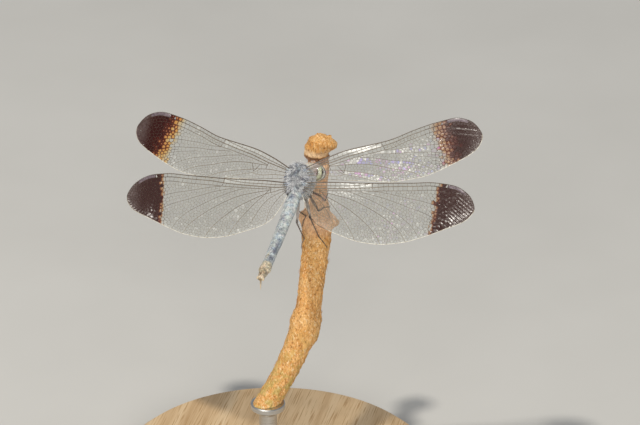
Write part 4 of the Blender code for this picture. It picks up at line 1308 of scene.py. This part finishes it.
HIND_VEINS = (
    (1, 0.085, ((0, 0.3), (0.05, 0.2), (0.12, 0.155), (0.25, 0.113), (0.38, 0.078), (0.48, 0.056),
                (0.62, 0.054), (0.75, 0.062), (0.86, 0.08), (0.94, 0.12), (0.985, 0.24))),
    (-1, 0.06, ((0, 0.15), (0.05, 0.1), (0.12, 0.08), (0.25, 0.06), (0.34, 0.03), (0.39, 0))),
    (-1, 0.06, ((0.1, 0.21), (0.16, 0.19), (0.25, 0.165), (0.36, 0.14), (0.48, 0.125), (0.6, 0.125),
                (0.72, 0.135), (0.82, 0.165), (0.9, 0.25), (0.95, 0.4), (0.98, 0.7))),
    (1, 0.055, ((0.1, 0.24), (0.18, 0.265), (0.28, 0.31), (0.38, 0.4), (0.47, 0.52), (0.55, 0.67),
                (0.61, 0.83), (0.65, 1))),
    (-1, 0.055, ((0, 0.42), (0.05, 0.3), (0.1, 0.3), (0.15, 0.34), (0.22, 0.42), (0.31, 0.53),
                 (0.4, 0.68), (0.47, 0.85), (0.51, 1))),
    (-1, 0.045, ((0.26, 0.175), (0.35, 0.24), (0.45, 0.345), (0.54, 0.47), (0.62, 0.62), (0.68, 0.8),
                 (0.72, 1))),
    (1, 0.045, ((0.33, 0.16), (0.42, 0.21), (0.52, 0.29), (0.62, 0.4), (0.71, 0.53), (0.79, 0.7),
                (0.85, 0.9), (0.87, 1))),
    (-1, 0.045, ((0.4, 0.13), (0.48, 0.165), (0.57, 0.22), (0.67, 0.3), (0.77, 0.42), (0.85, 0.58),
                 (0.905, 0.8), (0.93, 1))),
    (1, 0.05, ((0.14, 0.35), (0.18, 0.46), (0.23, 0.6), (0.29, 0.76), (0.34, 0.92), (0.36, 1))),
    (1, 0.045, ((0, 0.55), (0.05, 0.42), (0.1, 0.45), (0.15, 0.58), (0.19, 0.74), (0.22, 0.87))),
    (-1, 0.04, ((0, 0.65), (0.04, 0.58), (0.08, 0.66), (0.11, 0.8), (0.13, 1))),
)
HIND_BARS = (
    ((0.095, 0.16), (0.1, 0.3)), ((0.11, 0.25), (0.14, 0.34)), ((0.39, 0), (0.395, 0.07), (0.405, 0.13)),
    ((0.82, 0), (0.812, 0.07)), ((0.915, 0), (0.92, 0.1)),
)
# Depth of the pleats at shares of the span
FOLD_HEIGHTS = {
    "fore": ((0, 0.17), (0.2, 0.1), (0.3, 0.07), (0.5, 0.06), (0.6, 0.012), (1, 0.008)),
    "hind": ((0, 0.13), (0.15, 0.05), (0.3, 0.02), (1, 0.008)),
}
# Fine creases of the tips: how far they run back across the span, distance apart, strength
CREASES = {"fore": (0.3, 0.95, 2.7), "hind": (0.6, 0.62, 1.3)}
# How far the chord turns towards the tip
TIP_TWIST = {"fore": -0.06, "hind": 0.08}
# Two bowed rows of cells of the right forewing that are tilted to the light: shares of the span, of the chord
LIT_ROWS = (
    ((0.27, 0.4, 0.53, 0.66, 0.74), (0.5, 0.46, 0.58, 0.8, 0.92)),
    ((0.3, 0.5, 0.63, 0.7), (0.66, 0.7, 0.9, 0.98)),
)
# Shares of the span between which the thick dark cell lies
STIGMA = {"fore": (0.82, 0.94), "hind": (0.826, 0.935)}
# Share of the span where the tip is fully dark, at the front and at the rear, and the mesh's width
STAIN = {"fore": (0.84, 0.88, 0.115), "hind": (0.79, 0.8, 0.026)}


def cut(cell, at, inward, mark):
    """A convex cell's part on the inward side of a line; its new side carries the mark."""
    kept = []
    depth = [(x - at[0]) * inward[0] + (y - at[1]) * inward[1] for x, y, _ in cell]
    for i, (x, y, old) in enumerate(cell):
        a, b = depth[i], depth[(i + 1) % len(cell)]
        if a >= 0:
            kept.append((x, y, old))
        if (a >= 0) != (b >= 0):
            share = a / (a - b)
            x2, y2, _ = cell[(i + 1) % len(cell)]
            kept.append((x + (x2 - x) * share, y + (y2 - y) * share, mark if a >= 0 else old))
    return kept


class WingPlan:
    """Flat plan of a wing, in millimetres along the span and ahead of it, with its veins and cells."""

    REACH = 1.3  # half the square that each cell is cut from
    GRID = 400, 240  # heights kept along the span and along the chord
    POINT_GAP = 0.13  # along the margin
    ROUNDS = 4  # of evening out the cells

    def __init__(self, kind, outline, length, veins, bars, seed):
        self.kind, self.length, self.random = kind, length, np.random.default_rng(seed)
        self.shares, self.front, self.back = np.array(outline).T
        self.veins = []
        for fold, radius, table in veins:
            table = np.array(table)
            share = np.linspace(table[0, 0], table[-1, 0], 90)
            self.veins.append((fold, radius, share, smooth_curve(table[:, 0], table[:, 1], share)))
        self.bars = [self.spot(*np.array(bar).T) for bar in bars]
        share = np.sin(np.linspace(0, np.pi / 2, 170)) ** 1.1
        tip = np.linspace(0, 1, 12)[1:-1]
        ends = self.spot(np.ones(2), np.array((0, 1)))
        round_tip = ends[0] + (ends[1] - ends[0]) * tip[:, None]
        round_tip[:, 0] += np.sin(np.pi * tip) * 0.28
        self.leading, self.trailing = self.spot(share, 0 * share), self.spot(share, 0 * share + 1)
        self.margin = self.rounded(np.concatenate((self.leading, round_tip, self.trailing[::-1])))
        self.heights = self.fold()
        self.lines()

    def rounded(self, line):
        """The line with evenly spaced points and its corners rounded off."""
        along = np.concatenate(([0], np.cumsum(np.linalg.norm(np.diff(line, axis=0), axis=1))))
        stops = np.linspace(0, along[-1], int(along[-1] / self.POINT_GAP))
        line = along_line(stops, along, line)
        smooth = line.copy()
        for _ in range(3):
            wide = np.pad(smooth, ((4, 4), (0, 0)), mode="edge")
            smooth = np.stack([np.convolve(wide[:, k], np.ones(9) / 9, "valid") for k in (0, 1)], -1)
        keep = step(np.minimum(stops, along[-1] - stops), 1.5, 0.3)[:, None]
        return line * keep + smooth * (1 - keep)

    def reach(self, share):
        share = np.clip(share, 0, 1)
        return smooth_curve(self.shares, self.front, share), smooth_curve(self.shares, self.back, share)

    def spot(self, share, chord):
        front, back = self.reach(share)
        return np.stack((share * self.length, front - (front + back) * chord), -1)

    def shares_of(self, points):
        share = points[..., 0] / self.length
        front, back = self.reach(share)
        return share, (front - points[..., 1]) / (front + back)

    def fold(self):
        """Heights of the pleated membrane over a grid of span and chord shares."""
        along, across = (np.linspace(0, 1, count) for count in self.GRID)
        heights = []
        for share in along:
            knots = [(0, 0), (1, 0)]
            for fold, _, shares, chords in self.veins:
                if fold and shares[0] < share < shares[-1]:
                    chord = float(np.interp(share, shares, chords))
                    base = float(np.interp(chord, *zip(*knots)))
                    ramp = float(step(share, shares[0] - 0.01, shares[0] + 0.09))
                    ramp *= float(step(shares[-1] - share, 0, 0.1))
                    top = fold * np.interp(share, *zip(*FOLD_HEIGHTS[self.kind]))
                    top *= 1 - 0.85 * step(share, 0.2, 0.3) * step(0.26 - chord, 0, 0.08)
                    knots = sorted(knots + [(chord, base + (top - base) * ramp)])
            heights.append(np.interp(across, *zip(*knots)))
        return np.array(heights)

    def lift(self, points):
        """Height of the membrane at points of the plan: pleats, camber and a slight wave."""
        share, chord = self.shares_of(points)
        share, chord = np.clip(share, 0, 1), np.clip(chord, 0, 1)
        front, back = self.reach(share)
        last_u, last_v = self.GRID[0] - 1, self.GRID[1] - 1
        u, v = share * last_u, chord * last_v
        i, j = np.minimum(u.astype(int), last_u - 1), np.minimum(v.astype(int), last_v - 1)
        u, v, h = u - i, v - j, self.heights
        front_pleat = h[i, j] * (1 - u) + h[i + 1, j] * u
        rear_pleat = h[i, j + 1] * (1 - u) + h[i + 1, j + 1] * u
        pleat = front_pleat * (1 - v) + rear_pleat * v
        wave = 0.12 * np.sin(share * 9 + chord * 4) * chord
        tip = step(share, 0.76, 0.88) if self.kind == "fore" else 0
        camber = WING_CAMBER * (front + back) * (1 - 1.4 * step(share, 0.3, 0.55) * (1 - 0.32 * tip))
        twist = TIP_TWIST[self.kind] * (front + back) * (chord - 0.5) * step(share, 0.8, 0.9)
        return pleat + wave + camber * 4 * chord * (1 - chord) + twist

    def lines(self):
        """Gathers every line that bounds cells: the margin, the veins and the bars."""
        points, ways, owner, ends = [], [], [], []
        lines = [self.margin] + [self.spot(share, chord) for _, _, share, chord in self.veins]
        for index, line in enumerate(lines + self.bars):
            if len(line) < 5:
                stops = np.linspace(0, len(line) - 1, 30)
                line = along_line(stops, np.arange(len(line)), line)
            points.append(line)
            ways.append(unit(np.gradient(line, axis=0)))
            owner.append(np.full(len(line), index))
            end = np.zeros(len(line), bool)
            if index:
                end[[0, -1]] = True
            ends.append(end)
        self.line_points, self.line_ways = np.concatenate(points), np.concatenate(ways)
        self.line_owner, self.line_ends = np.concatenate(owner), np.concatenate(ends)

    def cell_size(self, share, chord):
        size = 0.5 - 0.07 * step(chord, 0.5, 0.95) + 0.07 * step(share, 0.6, 0.75)
        return float(size - 0.16 * step(share, 0.86, 0.95))

    def sow(self):
        """Middles of the cells, in rows between neighbouring veins."""
        seeds, last = [], {}
        for share in np.arange(0.012, 1, 0.004):
            front, back = (float(r) for r in self.reach(share))
            rows = [(0, -1), (1, -2)]
            rows += [
                (float(np.interp(share, s, c)), k)
                for k, (_, _, s, c) in enumerate(self.veins) if s[0] <= share <= s[-1]
            ]
            rows.sort()
            for (low, a), (high, b) in zip(rows, rows[1:]):
                size = self.cell_size(share, (low + high) / 2)
                wide = (high - low) * (front + back)
                count = max(1, round(wide / size))
                if wide < 0.08:
                    continue
                for row in range(count):
                    key = (a, b, count, row)
                    long = size if count > 1 else max(size, 0.72)
                    gap = long * (1 + 0.25 * (self.random.random() - 0.5)) / self.length
                    start = share - gap * self.random.random()
                    if share - last.get(key, start - gap * 0.5) >= gap:
                        chord = low + (high - low) * (row + 0.5) / count
                        seeds.append(self.spot(share, chord) + self.random.normal(size=2) * 0.05 * size)
                        last[key] = share
                    last.setdefault(key, start)
        kept = []
        for seed in seeds:  # no two nearly on one spot
            if not kept or min(np.hypot(*(np.array(kept[-60:]) - seed).T)) > 0.17:
                kept.append(seed)
        return np.array(kept)

    def clip(self, seeds):
        """The cell round each seed, as (x, y, neighbour's index or -1 for a vein) corners."""
        share, chord = self.shares_of(seeds)
        sides = np.zeros((len(seeds), len(self.veins)), int)
        for k, (_, _, s, c) in enumerate(self.veins):
            inside = (share >= s[0]) & (share <= s[-1])
            sides[:, k] = np.where(inside, np.sign(chord - np.interp(share, s, c)), 0)
        cells, r = [], self.REACH
        for index, seed in enumerate(seeds):
            x, y = seed
            cell = [(x - r, y - r, -1), (x + r, y - r, -1), (x + r, y + r, -1), (x - r, y + r, -1)]
            away = ((self.line_points - seed) ** 2).sum(1)
            for owner in np.unique(self.line_owner[away < r * r]):
                mine = np.nonzero(self.line_owner == owner)[0]
                nearest = mine[np.argmin(away[mine])]
                if self.line_ends[nearest]:
                    continue
                at, way = self.line_points[nearest], self.line_ways[nearest]
                inward = np.array((-way[1], way[0]))
                inward *= np.sign((seed - at) @ inward) or 1
                cell = cut(cell, at, inward, -1)
            apart = ((seeds - seed) ** 2).sum(1)
            near = np.nonzero(apart < 4 * r * r)[0]
            near = near[np.argsort(apart[near])][1:26]
            for other in near:
                if (sides[index] * sides[other] == -1).any():
                    continue
                cell = cut(cell, (seed + seeds[other]) / 2, seed - seeds[other], int(other))
            cells.append(cell)
        return cells

    def cells(self):
        seeds = self.sow()
        for _ in range(self.ROUNDS):
            for index, cell in enumerate(self.clip(seeds)):
                corners = np.array([c[:2] for c in cell])
                if len(corners) > 2:
                    seeds[index] = seeds[index] * 0.3 + corners.mean(0) * 0.7
        return self.clip(seeds)


def wing_axes(side, sweep, droop, lift):
    """Directions along the span, towards the leading edge and out of the upper face."""
    sweep, droop, lift = (radians(a) for a in (sweep, droop, lift))
    span = np.array((
        side * cos(droop) * cos(sweep), cos(droop) * sin(sweep), -sin(droop)
    ))
    ahead = np.array((0, 1, 0))
    ahead = unit(ahead - span * ahead.dot(span))
    upper = unit(np.cross(span, ahead) * side)
    lead = ahead * cos(lift) + upper * sin(lift)
    return span, lead, unit(np.cross(span, lead) * side)


def membrane_look():
    """Clear film with a smoky haze, milky places that are partly painted sheen, brown tip cells that darken
    from their veins inwards, and a painted sheen on the rim of the dark tip.
    """
    look = Look("membrane", Roughness=0.25, Specular_IOR_Level=0.5)
    edge, stain, milk_and_sheen = look.value("edge"), look.value("stain"), look.value("milk_and_sheen")
    cloud = look.noise(0.35, 4, distortion=0.8)
    fine = look.noise(3, 3)
    haze = look.mottle(cloud, (0.085, 0.092, 0.065), (0.16, 0.165, 0.13))
    flecks = look.rise(look.noise(1.2, 4, distortion=1.4), 0.54, 0.72)
    milk_and_sheen = look.scale(look.times(flecks, look.value("rear")), 0.5, milk_and_sheen)
    haze = look.blend(milk_and_sheen, haze, (0.74, 0.75, 0.71))
    rim = look.scale(stain, 1.25, look.times(edge, -1))
    rim = look.plus(rim, look.scale(cloud, 0.5, -0.25))
    dark = look.rise(rim, -0.1, 0.22)
    amber = look.rise(look.plus(stain, look.scale(fine, 0.3, -0.15)), -0.25, 0.3)
    gold = look.ramp(
        stain, (0, (0.5, 0.35, 0.06)), (0.5, (0.42, 0.15, 0.014)), (1, (0.18, 0.038, 0.008)))
    rust = look.mottle(fine, (0.12, 0.045, 0.015), (0.3, 0.16, 0.06))
    gold = look.blend(look.value("dull"), gold, rust)
    brown = look.ramp(
        stain, (0.2, (0.2, 0.045, 0.007)), (0.75, (0.062, 0.009, 0.004)), (1, (0.03, 0.005, 0.003)))
    # painted sheen on the rim of the dark tip
    brown = look.blend(look.times(look.value("rim_sheen"), 0.4), brown, (0.3, 0.25, 0.24))
    colour = look.blend(amber, haze, gold)
    colour = look.blend(dark, colour, brown)
    clear = look.scale(cloud, 0.3, 0.12)
    clear = look.scale(milk_and_sheen, 0.4, clear)
    clear = look.times(clear, look.value("thick"))
    alpha = look.math("MAXIMUM", clear, look.times(amber, 0.88))
    alpha = look.math("MINIMUM", look.math("MAXIMUM", alpha, look.times(dark, 0.985)), 0.985)
    crease = look.math("SINE", look.times(look.value("phase"), 2 * pi))
    crease = look.times(crease, look.value("creased"))
    wrinkle = look.bump(look.scale(crease, 0.55, fine), 0.02, 0.8)
    return look.set(
        Base_Color=colour, Alpha=alpha, Normal=wrinkle,
        Thin_Film_Thickness=look.value("film"), Thin_Film_IOR=1.26,
    )


def vein_look():
    look = Look("veins", Specular_IOR_Level=0.5)
    fine = look.noise(4, 3)
    pale = look.mottle(fine, (0.4, 0.33, 0.22), (0.66, 0.6, 0.48))
    deep = look.mottle(fine, (0.035, 0.018, 0.012), (0.085, 0.048, 0.03))
    colour = look.blend(look.value("pale"), deep, pale)
    colour = look.blend(look.rise(look.value("pale"), 1, 1.25), colour, (0.86, 0.82, 0.7))
    return look.set(Base_Color=colour, Roughness=look.ramp(fine, (0.3, 0.28), (0.7, 0.42)))


def stigma_look():
    look = Look("stigma", Roughness=0.35, Coat_Weight=0.3, Coat_Roughness=0.2)
    fine = look.noise(3.5, 3)
    colour = look.mottle(fine, (0.085, 0.06, 0.07), (0.19, 0.145, 0.16))
    return look.set(Base_Color=colour, Normal=look.bump(fine, 0.02, 0.6))


class Wing:
    """One of the four wings: a plan set out along its own axes, with its own chances and painted sheen."""

    def __init__(self, name, plan, cells, hinge):
        self.name, self.plan, self.cells, self.fore = name, plan, cells, plan.kind == "fore"
        self.side = -1 if name.endswith("left") else 1
        self.span, self.lead, self.upper = wing_axes(self.side, *WING_POSES[name])
        self.origin = np.array((self.side * hinge[0], hinge[1], hinge[2]))
        self.random = np.random.default_rng(len(name) * 7 + self.side)

    def solid(self, points, rise=0):
        """World places of plan points, raised from the membrane."""
        points = np.asarray(points, float)
        rise = (self.plan.lift(points) + rise)[..., None]
        body = self.origin + points[..., :1] * self.span + points[..., 1:] * self.lead + rise * self.upper
        return placed(BODY_FRAME, body.reshape(-1, 3)).reshape(body.shape)

    def bulge(self, share, chord, size):
        """How far the middle of a cell stands out of its frame of veins."""
        height = size * self.random.uniform(0.02, 0.1) * self.random.choice((1, 1, -1))
        if self.fore:
            height *= 0.7 - 0.5 * step(share, 0.76, 0.82) - 0.3 * step(0.26 - chord, 0, 0.06)
        elif share > 0.86:
            height *= 0.4
        puckered = 0.008
        if self.side > 0:
            puckered = 0.02 + 0.08 * step(chord, 0.78, 0.95) * step(0.8 - share, 0, 0.1)
        # a few puckered cells catch the light from any side
        return size * 0.3 if self.random.random() < puckered else height

    def lit(self, share, chord):
        """Chance that a cell of the right forewing is tilted to the light, high along two bowed rows."""
        if not self.fore or self.side < 0:
            return 0
        nearest = max(bell(chord, np.interp(share, *row), 0.035) for row in LIT_ROWS)
        return nearest * step(share, 0.2, 0.28) * step(0.74 - share, 0, 0.06)

    def stain(self, share, shares, chords):
        """How far each point of a cell is into the dark tip: 1 and above is fully dark."""
        front, rear, width = STAIN[self.plan.kind]
        stain = 1 + (shares - (front + (rear - front) * chords)) / width
        return stain + self.random.normal() * (0.12 if self.fore else 0.3) * step(share, 0.7, 0.76)

    def milk_and_sheen(self, share, chord):
        """How milky a cell is: most near the root of the leading edge, where the paleness is partly painted
        sheen, and along the rear edge.
        """
        wide, long = (0.1, 0.46) if self.fore else (0.06, 0.42)
        costal = step(2 * wide - chord, 0, wide) * step(long - share, 0, 0.05)
        milk_and_sheen = 0.1 + 0.16 * self.random.random() ** 2 + 0.42 * costal + 0.22 * step(chord, 0.8, 1)
        milk_and_sheen += self.random.uniform(0.1, 0.4) * (self.random.random() < 0.02 + 0.03 * chord)
        # painted sheen over the root of the right hindwing
        if self.side > 0 and not self.fore:
            milk_and_sheen += 0.25 * step(0.24 - share, 0, 0.12) * step(chord, 0.25, 0.6)
        return min(milk_and_sheen, 0.9)

    def film(self, clear, lit, chord):
        """Thickness of the film in nanometres: 0 glints white, the others violet, blue or pink."""
        if not clear:  # the left forewing's tip is matt
            return 115 if self.fore and self.side < 0 else 0
        white = 1 if lit > 0.3 else 5
        return self.random.choice((0,) * white + (350, 565) * int(chord > 0.25)) + self.random.uniform(0, 10)

    def wear_and_sheen(self, share, chord):
        """How much painted sheen lies on the rim of the dark tip."""
        rim = step(share, 0.9, 1) + 0.7 * step(0.16 - chord, 0, 0.12) * step(share, 0.84, 0.9)
        return min(rim, 1) * (0.5 + 0.5 * self.random.random())

    def build_membrane(self, material):
        """A shallow dome of film in every cell."""
        shape, uv_width = Shape(), self.plan.length * 1.1
        slant, pitch, creases = CREASES[self.plan.kind]
        dull = {"wing_fore_left": 0, "wing_hind_left": 0.7}.get(self.name, 0.85)
        for cell in self.cells:
            corners = np.array([c[:2] for c in cell])
            count = len(corners)
            if count < 3:
                continue
            middle = corners.mean(0)
            share, chord = self.plan.shares_of(middle)
            size = np.hypot(*(corners - middle).T).mean()
            middle = middle + self.random.normal(size=2) * 0.1 * size
            bulge = self.bulge(share, chord, size)
            flat = np.concatenate((corners, middle + (corners - middle) * 0.55, middle[None]))
            rise = np.concatenate((np.zeros(count), np.full(count, bulge * 0.72), [bulge]))
            shares, chords = self.plan.shares_of(flat)
            lit = self.lit(share, chord)
            if self.random.random() < lit:
                rise[count:] += self.random.uniform(0.06, 0.2) * (middle[1] - flat[count:, 1])
            stain = self.stain(share, shares, chords)
            creased = creases * step(shares, 0.84, 0.92) * step(chords, 0.1, 0.3)
            sides = [(a, (a + 1) % count) for a in range(count)]
            faces = [(a, b, b + count, a + count) for a, b in sides]
            faces += [(a + count, b + count, 2 * count) for a, b in sides]
            shape.add(
                self.solid(flat, rise), [face[::self.side] for face in faces],
                uv=flat / uv_width + (0.04, 0.55), stain=np.clip(stain, -1, 1.5),
                milk_and_sheen=self.milk_and_sheen(share, chord), film=self.film(stain[-1] < 0.2, lit, chord),
                rim_sheen=self.wear_and_sheen(share, chord), dull=dull,
                edge=np.concatenate((np.zeros(count), np.full(count, 0.55), [1])),
                thick=0.2 + 0.8 * step(share, 0.1, 0.27), rear=0.25 + 0.75 * step(chord, 0.3, 0.9),
                phase=(flat[:, 1] + slant * flat[:, 0]) / pitch,
                creased=creased * (step(chords, 0.62, 0.42) if self.fore else 1),
            )
        add_piece(f"{self.name}_membrane", shape, material, (self.name,), around=False)

    def build_veins(self, material):
        plan, net, across = self.plan, Shape(), turned(BODY_FRAME, self.upper)
        dark_from = STAIN[plan.kind][0] - STAIN[plan.kind][2]

        def add_line(flat, radii, sides, pale):
            add_rows(net, tube(self.solid(flat), radii, sides, across), pale=pale)

        for index, cell in enumerate(self.cells):  # cross veins
            for (x, y, other), (x2, y2, _) in zip(cell, cell[1:] + cell[:1]):
                if other > index and hypot(x2 - x, y2 - y) > 0.04:
                    flat = np.array(((x, y), (x2, y2)))
                    share, chord = plan.shares_of(flat)
                    plain = float(step(dark_from - share.mean(), -0.03, 0.05))
                    pale = 0.5 * plain * (0.6 + 0.8 * self.random.random())
                    radius = 0.033 - 0.013 * plain + 0.009 * float(step(0.3 - chord.mean(), 0, 0.2))
                    add_line(flat, (radius, radius), 4, pale)
        for _, radius, shares, chords in plan.veins:
            pale = 0.25 * step(0.75 - shares, 0, 0.1)
            pale = pale + 0.25 * step(chords, 0.5, 1) * step(0.78 - shares, 0, 0.1)
            add_line(plan.spot(shares, chords), radius * (1 - 0.45 * shares), 8, pale)
        for bar in plan.bars:
            stops = np.linspace(0, len(bar) - 1, 8)
            add_line(along_line(stops, np.arange(len(bar)), bar), np.full(8, 0.04), 6, 0.1)
        add_line(plan.margin, *self.margin_looks())
        for share in np.arange(0.04, 0.97, 0.012):  # saw teeth along the leading edge
            root = self.solid(plan.spot(np.array((share,)), np.zeros(1)))[0]
            way = unit(turned(BODY_FRAME, self.lead * 0.8 + self.span * 0.7))
            path = root + way * (0.06 + 0.1 * np.linspace(0, 1, 3))[:, None]
            add_rows(net, tube(path, (0.02, 0.013, 0.002), 4), pale=0)
        add_piece(f"{self.name}_veins", net, material, around=False)

    def margin_looks(self):
        """Radii, sides and paleness of the vein round the wing: thick and dark in front."""
        margin = self.plan.margin
        shares = margin[:, 0] / self.plan.length
        front = np.arange(len(margin)) < np.argmax(shares)
        radii = np.where(front, 0.1 * (1 - 0.5 * shares), 0.04)
        radii = np.convolve(np.pad(radii, 4, mode="edge"), np.ones(9) / 9, "valid")
        # on the right wings the pale rear margin runs on nearly to the tip as a painted highlight
        rear = 1.2 - (0.6 if self.side < 0 else 0.1) * step(shares, 0.85, 0.99)
        rear = rear + 0.25 * np.sin(shares * 170) * np.sin(shares * 61)
        if self.fore:
            rear = rear - 0.9 * step(0.3 - shares, 0, 0.15)
        elif self.side > 0:  # painted shade where it crosses the twig
            rear = rear - 1.2 * step(shares, 0.02, 0.06) * step(0.2 - shares, 0, 0.03)
        return radii, 8, np.where(front, 0.12 * step(0.86 - shares, -0.02, 0.1), rear)

    def build_stigma(self, material):
        """The thick dark cell near the tip."""
        plan, (low, high), turn = self.plan, STIGMA[self.plan.kind], full_turn(14)
        shares = np.linspace(low, high, 26)
        _, _, vein_shares, vein_chords = plan.veins[0]
        ends = np.clip(np.minimum(shares - low, high - shares) / 0.006, 0.06, 1) ** 0.5
        rows = []
        for share, chord, narrow in zip(shares, np.interp(shares, vein_shares, vein_chords), ends):
            x, y = plan.spot(share, chord / 2)
            half = (plan.spot(share, 0)[1] - plan.spot(share, chord)[1]) / 2 * narrow
            across = half * np.sign(np.cos(turn)) * np.abs(np.cos(turn)) ** 0.7
            rows.append(self.solid(np.stack((np.full(14, x), y + across), -1), 0.065 * np.sin(turn) * narrow))
        shape = Shape()
        add_rows(shape, np.array(rows))
        add_piece(f"{self.name}_stigma", shape, material)

    def build_hinge(self, material):
        """Plates between the veins' roots and the thorax."""
        shape = Shape()
        frame_to = BODY_FRAME.to_3x3().to_4x4() @ Matrix((*zip(self.span, self.lead, self.upper),)).to_4x4()
        for along, ahead, up, sizes in (
            (-0.25, -0.2, -0.05, (0.5, 0.3, 0.22)), (0.1, -0.55, 0, (0.38, 0.26, 0.16)),
            (-0.2, -1.1, -0.1, (0.5, 0.34, 0.2)), (0.2, -0.1, 0.02, (0.4, 0.17, 0.14)),
            (0.05, -1.5, -0.05, (0.3, 0.3, 0.12)),
        ):
            at = placed(BODY_FRAME, self.origin + self.span * along + self.lead * ahead + self.upper * up)
            add_ball(shape, at, sizes, frame_to, 12, 18, dark=0.5 + 0.2 * (ahead < -1), tan=0.1)
        add_piece(f"{self.name}_hinge", shape, material)


def build_wings():
    membrane, vein, stigma, skin = membrane_look(), vein_look(), stigma_look(), skin_look()
    for kind, outline, length, veins, bars, hinge, seed in (
        ("fore", FORE_OUTLINE, FORE_SPAN, FORE_VEINS, FORE_BARS, FORE_HINGE, 1),
        ("hind", HIND_OUTLINE, HIND_SPAN, HIND_VEINS, HIND_BARS, HIND_HINGE, 2),
    ):
        plan = WingPlan(kind, outline, length, veins, bars, seed)
        cells = plan.cells()
        for side, _ in SIDES:
            wing = Wing(f"wing_{kind}_{side}", plan, cells, hinge)
            wing.build_membrane(membrane)
            wing.build_veins(vein)
            wing.build_stigma(stigma)
            wing.build_hinge(skin)


# ---------------------------------------------------------------- room, lights and camera

def build_room():
    look = Look("pale_floor", Roughness=0.75, Specular_IOR_Level=0.2)
    tone = look.noise(0.02, 3)
    look.set(Base_Color=look.ramp(tone, (0.3, (0.56, 0.55, 0.52)), (0.7, (0.6, 0.59, 0.56))))
    mesh = bpy.data.meshes.new("floor")
    corners = [(4 * x, 4 * y, 0) for x, y in ((-1, -1), (1, -1), (1, 1), (-1, 1))]
    mesh.from_pydata(corners, [], [(0, 1, 2, 3)])
    mesh.materials.append(look.material)
    linked("floor", mesh)

    world = bpy.data.worlds.new("studio")
    world.use_nodes = True
    world.node_tree.nodes["Background"].inputs["Color"].default_value = (0.8, 0.84, 0.9, 1)
    world.node_tree.nodes["Background"].inputs["Strength"].default_value = 0.38
    bpy.context.scene.world = world
    bpy.context.scene.view_settings.view_transform = "Standard"

    target = Vector(THORAX_AT) * MM
    for name, at, size, power, colour in (
        ("key", (0.17, 0.23, 0.853), 0.05, 4.4, (1, 0.95, 0.87)),
        ("fill", (-0.2, 0.68, 0.38), 0.4, 3.2, (1, 0.97, 0.92)),
    ):
        lamp = bpy.data.lights.new(name, "AREA")
        lamp.shape, lamp.size, lamp.energy, lamp.color = "DISK", size, power, colour
        light = linked(name, lamp)
        light.location = at
        light.rotation_euler = (target - Vector(at)).to_track_quat("-Z", "Y").to_euler()


def build_camera():
    camera = bpy.data.cameras.new("camera")
    camera.lens, camera.sensor_width = LENS, 36
    camera.clip_start, camera.clip_end = 0.05, 20
    eye = linked("camera", camera)
    eye.matrix_world = (
        Matrix.Translation(CAMERA_AT)
        @ Matrix.Rotation(radians(CAMERA_AZIMUTH), 4, "Z")
        @ Matrix.Rotation(radians(90 - CAMERA_ELEVATION), 4, "X")
    )
    bpy.context.scene.camera = eye


build_camera()
build_room()
build_base()
build_rod()
build_fibres(*build_twig())
build_coat(*build_body())
build_tail()
build_eyes()
build_head()
build_legs()
build_wings()
